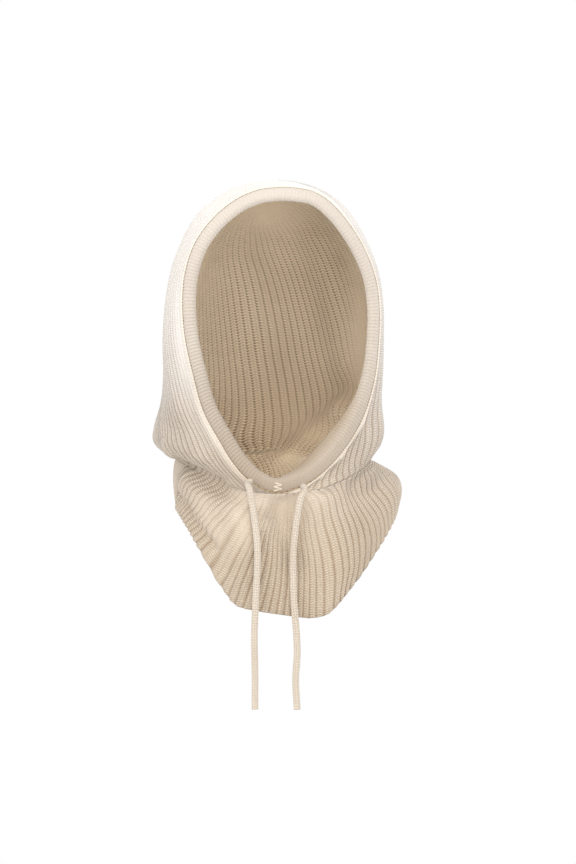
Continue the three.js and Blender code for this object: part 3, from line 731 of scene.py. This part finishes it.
# %% [markdown]
# The tunnel is the knit turned over a cord and sewn down. It is a flattened
# tube round the face, and its fine ribs run across it. Stations along it are
# evenly spaced, five to each fine rib.

# %% Stations round the face
CASING_RIBS = 222
STATIONS_PER_RIB = 5
# Where on the rim (places from the crown, left ones negative), and there: the
# tunnel's width as a share of the usual one, how far its inner layer stands into
# the opening in mm, how high its ribs are, and the seam's size
CASING_PLACES = (-14, -13.2, -12.5, -11, -9, -4, 0, 4, 8, 9.5, 10.5, 11.5, 12.5, 13.2, 14)
CASING_FORM = {
    "width": (0.88, 0.90, 0.95, 1.0, 1.0, 1.0, 1.0, 1.0, 1.0, 1.0, 1.0, 1.0, 0.95, 0.90, 0.88),
    "lip": (0, 0, 0, 0, 0, 0, 0, 0, 0, 1, 4, 6, 5, 2.5, 0),
    "ribs": (0.25, 0.45, 0.8, 1, 1, 0.8, 0.7, 0.8, 0.8, 0.7, 0.6, 0.4, 0.3, 0.25, 0.25),
    "seam": (0.15, 0.25, 0.6, 0.9, 1, 0.9, 0.8, 0.8, 0.9, 1, 1, 1, 0.8, 0.25, 0.15),
}
LOOP_STEPS = 280


def loop_places():
    """Fine run of rim places, once round the face from the crown."""
    right = [(CHIN * i / LOOP_STEPS, 1) for i in range(LOOP_STEPS)]
    left = [(CHIN * i / LOOP_STEPS, -1) for i in range(LOOP_STEPS, 0, -1)]
    return right + left + [(0, 1)]


loop = [rim_frame(place, side) for place, side in loop_places()]
loop_middle, loop_outward, loop_front = (np.array([f[i] for f in loop]) for i in range(3))
loop_length = run_lengths(loop_middle)
loop_form = {key: smooth_through(np.array([p * s for p, s in loop_places()]),
                                 CASING_PLACES, values)
             for key, values in CASING_FORM.items()}


def loop_frame(share):
    """Middle, outward and front of the tunnel at shares of the way round."""
    at = np.asarray(share) * loop_length[-1]
    middle, outward, front = (points_at(at, loop_length, values)
                              for values in (loop_middle, loop_outward, loop_front))
    return middle, unit(outward), unit(front)


def loop_value(share, key):
    return np.interp(np.asarray(share) * loop_length[-1], loop_length, loop_form[key])


print("way round the face, mm:", (loop_length[-1] / MM).round(1))

# %% [markdown]
# The section of the tunnel is a drop: round where the cord runs, at the edge of
# the face, and flat at the seam. At the lower right its inner layer turns into
# the opening and shows, as a smooth lip.

# %% Casing
CASING_SIDES = 24
CASING_RELIEF = 0.0005
CASING_COURSES = 18
SQUARENESS = 0.75
SEAM_FLATNESS = 0.45
# The inner layer turns towards the opening and the back, sharply at its edge
TURN_IN, TURN_BACK, TURN_SHARPNESS = 0.6, 0.8, 1.2
LIP_SLANT, FULL_LIP = 0.9, 0.004


def tunnel_taper(across):
    """The tunnel's thickness as a share, from 1 at the opening (-1) to the seam (1)."""
    return 1 - (1 - SEAM_FLATNESS) * (across + 1) / 2


stations = np.arange(CASING_RIBS * STATIONS_PER_RIB + 1) / (CASING_RIBS * STATIONS_PER_RIB)
middle, outward, front = loop_frame(stations)
angles = full_turn(CASING_SIDES)
cosines, sines = (np.sign(v) * np.abs(v) ** SQUARENESS
                  for v in (np.cos(angles), np.sin(angles)))
width = loop_value(stations, "width")[:, None]
lip = loop_value(stations, "lip")[:, None] * MM
rise = loop_value(stations, "ribs")[:, None]
half = TUNNEL_WIDTH / 2
# The edge at the opening stays in place and the seam's edge moves in
wide = -half + (cosines[None] + 1) * half * width
thick = sines[None] * TUNNEL_THICKNESS / 2 * tunnel_taper(cosines[None])
beat = 0.5 - 0.5 * np.cos(2 * math.pi * stations * CASING_RIBS)[:, None]
swell = -CASING_RELIEF * rise * beat
turned = np.clip(-cosines[None] * TURN_IN - sines[None] * TURN_BACK,
                 0, 1) ** TURN_SHARPNESS
turned_in = turned * lip
wide = wide + cosines[None] * swell - turned_in
thick = thick + sines[None] * swell - turned_in * LIP_SLANT
casing_points = (middle[:, None] + outward[:, None] * wide[..., None]
                 + front[:, None] * thick[..., None])
casing_across = np.repeat((stations * CASING_RIBS)[:, None], CASING_SIDES + 1, axis=1)
casing_down = np.repeat((angles / (2 * math.pi) * CASING_COURSES)[None],
                        len(stations), axis=0)
# The inside mark here paints shade on the inner layer where it turns into the opening
knit_casing = weld(grid_object("knit_casing", casing_points, casing_across, casing_down,
                               depth=rise, inside=turned * np.minimum(lip / FULL_LIP, 1)))

# %% [markdown]
# Each free end of the cord leaves a buttonhole beside the chin and hangs down
# in front of the bib. The points are the CAD model's, and the cord is a round
# knitted tube with a flat cut end.

# %% Cord routes
EXIT_LEFT, EXIT_RIGHT = 12.85, 13.15
EXIT_START = (0.0044, -0.0008)
EXIT_END = (0.0090, 0.0022)
CORD_POINTS = {
    "drawcord_left": [(-31.2, -101.5, -277.5), (-27.2, -104, -303.4), (-24.9, -106.5, -329.4),
                      (-25.5, -106.5, -355.2), (-26.8, -106, -381.2), (-27.6, -106, -407.3),
                      (-27.1, -106, -433.3), (-27.1, -106, -468.0)],
    "drawcord_right": [(13.1, -100, -286.2), (9.3, -102, -307.9), (6.9, -103.5, -329.5),
                       (6.3, -106.5, -355.5), (7.2, -109, -381.5), (9.0, -109, -403.3),
                       (9.5, -109, -420.7), (8.2, -109, -442.4), (9.5, -109, -468.5)],
}
ROUTE_STEPS = 400


def cord_route(name, place, side):
    centre, away, forward = rim_frame(place, side)
    starts = [centre + away * out + forward * ahead for out, ahead in (EXIT_START, EXIT_END)]
    knots = np.array(starts + [np.array(p) * MM for p in CORD_POINTS[name]])
    spans = np.sqrt(np.linalg.norm(np.diff(knots, axis=0), axis=1))
    at = np.concatenate([[0.0], np.cumsum(spans)])
    fine = np.linspace(0, at[-1], ROUTE_STEPS)
    slopes = np.gradient(knots, at, axis=0)
    i = np.clip(np.searchsorted(at, fine, side="right") - 1, 0, len(spans) - 1)
    gap = (at[i + 1] - at[i])[:, None]
    t = (fine - at[i])[:, None] / gap
    return cubic(t, knots[i], knots[i + 1], slopes[i] * gap, slopes[i + 1] * gap)


def even_route(route, count):
    """Evenly spaced points along a route, as many as this, and its length."""
    lengths = run_lengths(route)
    return points_at(np.linspace(0, lengths[-1], count), lengths, route), lengths[-1]


routes = {"drawcord_left": cord_route("drawcord_left", EXIT_LEFT, -1),
          "drawcord_right": cord_route("drawcord_right", EXIT_RIGHT, 1)}
print("cords leave at", [route[0].round(4).tolist() for route in routes.values()])

# %% [markdown]
# A tube along a route needs a frame that doesn't twist, so each station turns
# the one before it as little as it can. The relief is a fine knit with eight
# columns of stitches round the cord, and a flat cap closes each end.

# %% Cords
CORD_SIDES = 24
CORD_WALES = 8
CORD_STEP = 0.0008
CORD_COURSE = 0.0024
CORD_RELIEF = 0.00022
# Roundness of a column of stitches, slant of its stitches and their share of it
WALE_ROUNDNESS, WALE_SLANT, COURSE_SHARE = 0.6, 1.2, 0.6


def cord_object(name, route):
    count = round(run_lengths(route)[-1] / CORD_STEP)
    points, length = even_route(route, count)
    tangents = unit(np.gradient(points, axis=0))
    side = np.cross(tangents[0], [0.0, 1.0, 0.0])
    sides = []
    for tangent in tangents:
        side = unit(side - tangent * side.dot(tangent))
        sides.append(side)
    sides = np.array(sides)
    turn = full_turn(CORD_SIDES)
    wale = np.abs(np.sin(turn * CORD_WALES / 2)) ** WALE_ROUNDNESS
    climb = 2 * math.pi * np.arange(count)[:, None] * CORD_STEP / CORD_COURSE
    slant = 0.5 + 0.5 * np.cos(climb + WALE_SLANT * np.abs(np.cos(turn * CORD_WALES / 2)))
    radius = CORD_DIAMETER / 2 - CORD_RELIEF * (1 - wale + COURSE_SHARE * slant)
    grid = closed_ends(tube_points(points, sides, np.cross(tangents, sides), radius, turn))
    courses_down = np.arange(len(grid)) * CORD_STEP / CORD_COURSE
    down_cord = np.repeat(courses_down[:, None], CORD_SIDES + 1, axis=1)
    across_cord = np.repeat((turn / (2 * math.pi) * CORD_WALES)[None], len(grid), axis=0)
    return weld(grid_object(name, grid, across_cord, down_cord), FINE_WELD), points, length


cords = {}
for name, route in routes.items():
    cords[name] = cord_object("knit_" + name, route)
    print(name, "length, mm:", round(cords[name][2] / MM, 1))

# %% [markdown]
# A chain of stitches holds the tunnel down. It is a row of small loops beside
# it, made as one thin tube that swells and narrows, once for each stitch. Near
# the chin it sinks into the knit and thins.

# %% Chain seam
CHAIN_STITCHES = 262
CHAIN_STEPS = 6
CHAIN_SIDES = 8
CHAIN_RADIUS, LEAST_CHAIN = 0.0011, 0.15
CHAIN_SWELL = 0.28
CHAIN_OUT = TUNNEL_WIDTH / 2 + SEAT_GAP
CHAIN_LIFT, CHAIN_SINK = 0.0016, 0.0012

chain_share = np.linspace(0, 1, CHAIN_STITCHES * CHAIN_STEPS + 1)
centre, away, forward = loop_frame(chain_share)
chain_form = loop_value(chain_share, "seam")
lift = CHAIN_LIFT - CHAIN_SINK * (1 - chain_form)
beat = np.abs(np.sin(math.pi * chain_share * CHAIN_STITCHES))
size = (CHAIN_RADIUS * (1 - CHAIN_SWELL + CHAIN_SWELL * beat)
        * np.maximum(chain_form, LEAST_CHAIN))
turn = full_turn(CHAIN_SIDES)
chain_points = tube_points(centre + away * CHAIN_OUT + forward * lift[:, None],
                           away, forward, size[:, None], turn)
chain_across = np.repeat((chain_share * CHAIN_STITCHES)[:, None], CHAIN_SIDES + 1, axis=1)
chain_around = np.repeat((turn / (2 * math.pi))[None], len(chain_share), axis=0)
chain_seam = weld(grid_object("chain_seam", chain_points, chain_across, chain_around),
                  FINE_WELD)

# %% [markdown]
# A few zigzag stitches tack the two ends of the tunnel together at the chin.
# The yarn lies on the tunnel's rounded front, so its line follows that.

# %% Tack at the chin
TACK_TURNS = 2
TACK_RADIUS = 0.0007
TACK_SHARE, TACK_SWING = 0.5065, 0.0042
TACK_TOP, TACK_BOTTOM = -0.0038, 0.00418
TACK_POINTS = 140
TACK_COURSES = 6

tack_count = 2 * TACK_TURNS + 1
tack_share = TACK_SHARE + TACK_SWING * np.where(np.arange(tack_count) % 2 == 0, 1, -1)
centre, away, forward = loop_frame(tack_share)
tack_out = np.linspace(TACK_TOP, TACK_BOTTOM, tack_count)
tack_place = tack_out / (TUNNEL_WIDTH / 2)
tack_lift = TUNNEL_THICKNESS / 2 * np.sqrt(1 - tack_place**2) * tunnel_taper(tack_place)
tack_line, _ = even_route(
    centre + away * tack_out[:, None] + forward * tack_lift[:, None], TACK_POINTS)
tack_ways = unit(np.gradient(tack_line, axis=0))
tack_side = unit(np.cross(tack_ways, [0.0, 1.0, 0.0]))
tack_points = closed_ends(tube_points(
    tack_line, tack_side, np.cross(tack_ways, tack_side), TACK_RADIUS, turn))
tack_along = np.linspace(0, TACK_COURSES, TACK_POINTS)
tack_along = np.concatenate([tack_along[:1], tack_along, tack_along[-1:]])
chin_tack = weld(grid_object(
    "chin_tack", tack_points, np.repeat(tack_along[:, None], CHAIN_SIDES + 1, axis=1),
    np.repeat((turn / (2 * math.pi))[None], len(tack_points), axis=0)), FINE_WELD)

# %% [markdown]
# The yarn is a soft wool blend. Its colour is cream, with a painted shade that makes it a
# little darker and warmer in the grooves between ribs. Stitches are too fine for the mesh, so
# the material draws them as bump and as a faint painted shade in their gaps. First come
# helpers that add a node to a material's tree and join it to the others.

# %% Helpers for materials
def node(tree, kind, inputs=None, **settings):
    made = tree.nodes.new(kind)
    for key, value in settings.items():
        setattr(made, key, value)
    for key, value in (inputs or {}).items():
        if isinstance(value, bpy.types.NodeSocket):
            tree.links.new(value, made.inputs[key])
        else:
            made.inputs[key].default_value = value
    return made


def maths(tree, operation, *values, clamp=False):
    made = node(tree, "ShaderNodeMath", operation=operation, use_clamp=clamp)
    for i, value in enumerate(values):
        if isinstance(value, bpy.types.NodeSocket):
            tree.links.new(value, made.inputs[i])
        else:
            made.inputs[i].default_value = value
    return made.outputs[0]

def eased_range(tree, value, start, end):
    """A soft step from 0 at start to 1 at end."""
    return node(tree, "ShaderNodeMapRange", {
        "Value": value, "From Min": start, "From Max": end},
        interpolation_type="SMOOTHSTEP").outputs["Result"]


def swing(tree, value, middle, strength):
    """A value's distance from its middle, times a strength."""
    return maths(tree, "MULTIPLY", maths(tree, "SUBTRACT", value, middle), strength)


def colour_mix(tree, share, first, second, blend_type="MIX"):
    """Two colours mixed. Each is a node's output or three numbers."""
    made = node(tree, "ShaderNodeMix", data_type="RGBA", blend_type=blend_type)
    tree.links.new(share, made.inputs["Factor"])
    for key, colour in (("A", first), ("B", second)):
        if isinstance(colour, bpy.types.NodeSocket):
            tree.links.new(colour, made.inputs[key])
        else:
            made.inputs[key].default_value = (*colour, 1)
    return made.outputs["Result"]


# %% [markdown]
# A stitch of knit is two slanting legs. The UV map counts ribs across and
# courses down, so a sine along the courses, shifted with the distance from the
# rib's middle, draws the legs and the small holes between them. It follows the
# cloth everywhere and stays sharp, where a picture of knit would blur.

# %% Pattern of the stitches
STITCH_SLOPE = 0.55
# How wide the crease down a rib's middle is, and how dark its painted shade is
CREASE_WIDTH, CREASE_SHADE = 0.25, 0.9
FUZZ = {"Scale": 700.0, "Detail": 3.0, "Roughness": 0.6}
CLOUD = {"Scale": 25.0, "Detail": 2.0}


def knit_pattern(tree, groove):
    """What a point of the knit is part of, as outputs between 0 and 1."""
    place = node(tree, "ShaderNodeUVMap", uv_map="knit")
    split = node(tree, "ShaderNodeSeparateXYZ", {"Vector": place.outputs["UV"]})
    rib, course = split.outputs["X"], split.outputs["Y"]
    spot = node(tree, "ShaderNodeTexCoord").outputs["Object"]
    # Distance from the middle of the rib, 0 there and 1 in the groove
    off = maths(tree, "MULTIPLY", maths(tree, "ABSOLUTE", maths(
        tree, "SUBTRACT", maths(tree, "FRACT", rib), 0.5)), 2.0)
    leg = maths(tree, "ADD", course, maths(tree, "MULTIPLY", off, -STITCH_SLOPE))
    wave = maths(tree, "SINE", maths(tree, "MULTIPLY", leg, 2 * math.pi))
    wave = maths(tree, "MULTIPLY_ADD", wave, 0.5, 0.5)
    crease = node(tree, "ShaderNodeMapRange", {
        "Value": off, "From Min": CREASE_WIDTH, "From Max": 0.0, "To Max": CREASE_SHADE})
    return {
        "hollow": eased_range(tree, off, groove, 1.0),
        "hole": maths(tree, "SUBTRACT", 1.0, wave),
        "crease": crease.outputs["Result"],
        "depth": node(tree, "ShaderNodeAttribute", attribute_name="depth").outputs["Fac"],
        "inner_face": node(tree, "ShaderNodeAttribute", attribute_name="inside").outputs["Fac"],
        "fuzz": node(tree, "ShaderNodeTexNoise", {"Vector": spot, **FUZZ}).outputs["Fac"],
        "cloud": node(tree, "ShaderNodeTexNoise", {"Vector": spot, **CLOUD}).outputs["Fac"],
        "level": node(tree, "ShaderNodeSeparateXYZ", {"Vector": spot}).outputs["Z"]}


# %% [markdown]
# Painted shade: on the outside a groove is a plain darker line, and inside it is a row of dark
# dots, the shade in the gaps of the knit. A little fuzz and a slow cloud keep the yarn from
# looking printed. Towards the crown the light flattens the stitches, and their painted shade
# fades there.

# %% Tone of the yarn
# How dark the painted shade of a groove is between the holes of its stitches, and how much
# more in them
PLAIN_GROOVE, PLAIN_HOLE = 0.80, 0.35
DOTTED_GROOVE, DOTTED_HOLE = 0.20, 1.5
FUZZ_MIDDLE, FUZZ_TONE, FUZZ_RELIEF = 0.5, 0.45, 0.6
CLOUD_MIDDLE, CLOUD_TONE = 0.45, 0.25
CROWN_LEVEL, SHOWN_LEVEL, CROWN_TONE = -0.02, -0.20, 0.25


def knit_tone(tree, knit, gap, groove_painted_shade, stitch_painted_shade):
    """0 where the yarn has its own colour and 1 where its painted shade is darkest."""
    inner_face, depth = knit["inner_face"], knit["depth"]
    plain = maths(tree, "MULTIPLY_ADD", knit["hole"], PLAIN_HOLE, PLAIN_GROOVE)
    dots = maths(tree, "MULTIPLY_ADD", knit["hole"], DOTTED_HOLE, DOTTED_GROOVE)
    outside = maths(tree, "MULTIPLY", plain, maths(tree, "SUBTRACT", 1.0, inner_face))
    dotted = maths(tree, "ADD", outside, maths(tree, "MULTIPLY", dots, inner_face))
    tone = maths(tree, "MULTIPLY", maths(tree, "MULTIPLY", knit["hollow"], dotted),
                 maths(tree, "MULTIPLY", depth, groove_painted_shade))
    between = maths(tree, "MAXIMUM", maths(tree, "MULTIPLY", knit["crease"], depth), gap)
    tone = maths(tree, "MAXIMUM", tone, maths(tree, "MULTIPLY", between, stitch_painted_shade))
    tone = maths(tree, "ADD", tone, swing(tree, knit["fuzz"], FUZZ_MIDDLE, FUZZ_TONE))
    tone = maths(tree, "ADD", tone, swing(tree, knit["cloud"], CLOUD_MIDDLE, CLOUD_TONE),
                 clamp=True)
    shown = node(tree, "ShaderNodeMapRange", {
        "Value": knit["level"], "From Min": CROWN_LEVEL, "From Max": SHOWN_LEVEL,
        "To Min": CROWN_TONE, "To Max": 1.0}).outputs["Result"]
    return maths(tree, "MULTIPLY", tone, maths(tree, "MAXIMUM", shown, inner_face))


# %% [markdown]
# Painted light and shade: the yarn is painted palest above, where the top light falls, and
# goes over to a lower, darker and warmer colour down the hood, a painted shade. Light that has
# crossed the hood a few times is warmer, so the inside is multiplied by a painted shade tint.
# The shader is a rough one, with the sheen of wool.

# %% Knit material
# Between these levels the painted light above gives way to painted shade
PAINTED_LIGHT_LEVEL, PAINTED_SHADE_LEVEL = -0.12, -0.34
RELIEF_DISTANCE = 0.0007
WOOL = {"Roughness": 0.92, "Sheen Weight": 0.25, "Sheen Roughness": 0.5,
        "Specular IOR Level": 0.2}


# Colours given: the painted lit colour above, the painted shaded colour low down, the darkest
# painted shade of grooves and stitch gaps, and the painted shade tint of the inside
def knit_material(name, light, low, darkest_painted_shade, inside_shade_tint, groove, groove_painted_shade, stitch_painted_shade,
                  bump):
    material = bpy.data.materials.new(name)
    material.use_nodes = True
    tree = material.node_tree
    tree.nodes.clear()
    knit = knit_pattern(tree, groove)
    gap = maths(tree, "MULTIPLY", knit["hole"], knit["depth"])
    height = maths(tree, "MULTIPLY_ADD", gap, -1.0,
                   maths(tree, "MULTIPLY", knit["fuzz"], FUZZ_RELIEF))
    relief = node(tree, "ShaderNodeBump", {"Height": height, "Strength": bump,
                                           "Distance": RELIEF_DISTANCE})
    # Painted light and shade: paler above, darker and warmer down the hood
    painted_shade_fall = eased_range(tree, knit["level"], PAINTED_LIGHT_LEVEL, PAINTED_SHADE_LEVEL)
    yarn = colour_mix(tree, painted_shade_fall, light, low)
    # Painted shade: the inner face is multiplied by a warmer, darker tint
    shaded_inside = colour_mix(tree, knit["inner_face"], yarn, inside_shade_tint, blend_type="MULTIPLY")
    tone = knit_tone(tree, knit, gap, groove_painted_shade, stitch_painted_shade)
    # Painted shade of grooves, creases and stitch gaps, mixed towards the darkest tone
    colour = colour_mix(tree, tone, shaded_inside, darkest_painted_shade)
    shader = node(tree, "ShaderNodeBsdfPrincipled", {
        "Base Color": colour, "Normal": relief.outputs["Normal"], **WOOL})
    out = node(tree, "ShaderNodeOutputMaterial")
    tree.links.new(shader.outputs["BSDF"], out.inputs["Surface"])
    return material


def linear(red, green, blue):
    """Linear colour from display values of 0 to 255."""
    return tuple(((c / 255 + 0.055) / 1.055) ** 2.4 for c in (red, green, blue))


# %% [markdown]
# The same knit in four finishes: broad ribs for the hood, fine ones for the tunnel, small
# round stitches for the cord, and plain yarn for seam and tack. Each has its painted lit
# colour above, its painted shaded colour low down and the darkest painted shade of its grooves
# and stitch gaps.

# %% Materials
# A painted shade tint for the inside, warmer where light has crossed the hood
warm_inside_shade = (1.05, 0.95, 0.78)
rib_knit = knit_material("rib_knit", linear(237, 232, 226), linear(216, 200, 179),
                         linear(146, 118, 86), warm_inside_shade, groove=0.35, groove_painted_shade=0.70,
                         stitch_painted_shade=0.50, bump=1.0)
# The tunnel is the same yarn as the hood: its darker colours are painted shade, and its dark
# tint paints shade on the lip turned into the opening
casing_knit = knit_material("casing_knit", linear(213, 203, 191), linear(164, 147, 127),
                            linear(140, 115, 88), (0.72, 0.64, 0.54), groove=0.2,
                            groove_painted_shade=0.55, stitch_painted_shade=0.20, bump=0.6)
cord_knit = knit_material("cord_knit", linear(234, 224, 212), linear(230, 218, 202),
                          linear(160, 138, 112), warm_inside_shade, groove=0.5, groove_painted_shade=0.6,
                          stitch_painted_shade=0.40, bump=0.8)
seam_yarn = knit_material("seam_yarn", linear(238, 229, 216), linear(228, 214, 196),
                          linear(170, 145, 116), warm_inside_shade, groove=0.5, groove_painted_shade=0.5,
                          stitch_painted_shade=0.25, bump=0.4)


def dress(thing, material):
    thing.data.materials.clear()
    thing.data.materials.append(material)


dress(knit_hood, rib_knit)
dress(knit_casing, casing_knit)
dress(chain_seam, seam_yarn)
dress(chin_tack, seam_yarn)
for cord, _, _ in cords.values():
    dress(cord, cord_knit)
dress(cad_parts["drawcord_channel"], cord_knit)

print("materials:", [material.name for material in bpy.data.materials])

# %% [markdown]
# A pale floor well below the hood, a plain white surround that comes out as
# pure white behind it, and four broad, soft lights.

# %% Studio
FLOOR_LEVEL = -1.45
FLOOR_HALF = 3.0
PAPER_GREY, PAPER_ROUGHNESS = 0.9, 0.9

bm = bmesh.new()
bmesh.ops.create_grid(bm, x_segments=1, y_segments=1, size=FLOOR_HALF)
bmesh.ops.translate(bm, vec=(0, 0, FLOOR_LEVEL), verts=bm.verts)
floor_mesh = bpy.data.meshes.new("floor")
bm.to_mesh(floor_mesh)
bm.free()
floor = bpy.data.objects.new("floor", floor_mesh)
bpy.context.scene.collection.objects.link(floor)
paper = bpy.data.materials.new("paper")
paper.use_nodes = True
paper_shader = paper.node_tree.nodes["Principled BSDF"]
paper_shader.inputs["Base Color"].default_value = (PAPER_GREY, PAPER_GREY, PAPER_GREY, 1)
paper_shader.inputs["Roughness"].default_value = PAPER_ROUGHNESS
floor_mesh.materials.append(paper)

world = bpy.data.worlds.new("studio")
world.use_nodes = True
world.node_tree.nodes["Background"].inputs["Color"].default_value = (1, 1, 1, 1)
world.node_tree.nodes["Background"].inputs["Strength"].default_value = 1.0
bpy.context.scene.world = world
# Name, place, place it is aimed at, width in metres and power in watts
LIGHTS = [
    ("overhead", (-0.1, -0.8, 1.7), (0, 0, -0.1), 1.2, 6),
    ("front", (0.0, -2.6, 0.3), (0, 0, -0.2), 1.4, 19.5),
    ("left", (-2.2, -1.0, 0.4), (0, 0, -0.2), 1.4, 14),
    ("right", (2.2, -1.0, 0.2), (0, 0, -0.2), 1.4, 7),
]
for name, spot, target, size, power in LIGHTS:
    data = bpy.data.lights.new(name, "AREA")
    data.shape = "DISK"
    data.size = size
    data.energy = power
    light = bpy.data.objects.new(name, data)
    light.location = spot
    light.rotation_euler = (Vector(target) - Vector(spot)).to_track_quat("-Z", "Y").to_euler()
    bpy.context.scene.collection.objects.link(light)
bpy.context.scene.view_settings.view_transform = "Standard"

# %% [markdown]
# Every piece rides on the one body of the part, and the CAD nodes that it stands for are
# hidden.

# %% Pieces on the body
for thing, finish, nodes in (
        (knit_hood, "rib_knit", ["hood"]),
        (knit_casing, "casing_knit", ["face_casing"]),
        (chain_seam, "casing_knit", []),
        (chin_tack, "casing_knit", []),
        (cords["drawcord_left"][0], "cord_knit", ["drawcord_left"]),
        (cords["drawcord_right"][0], "cord_knit", ["drawcord_right"])):
    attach(thing, "root")
    if nodes:
        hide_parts(*nodes)
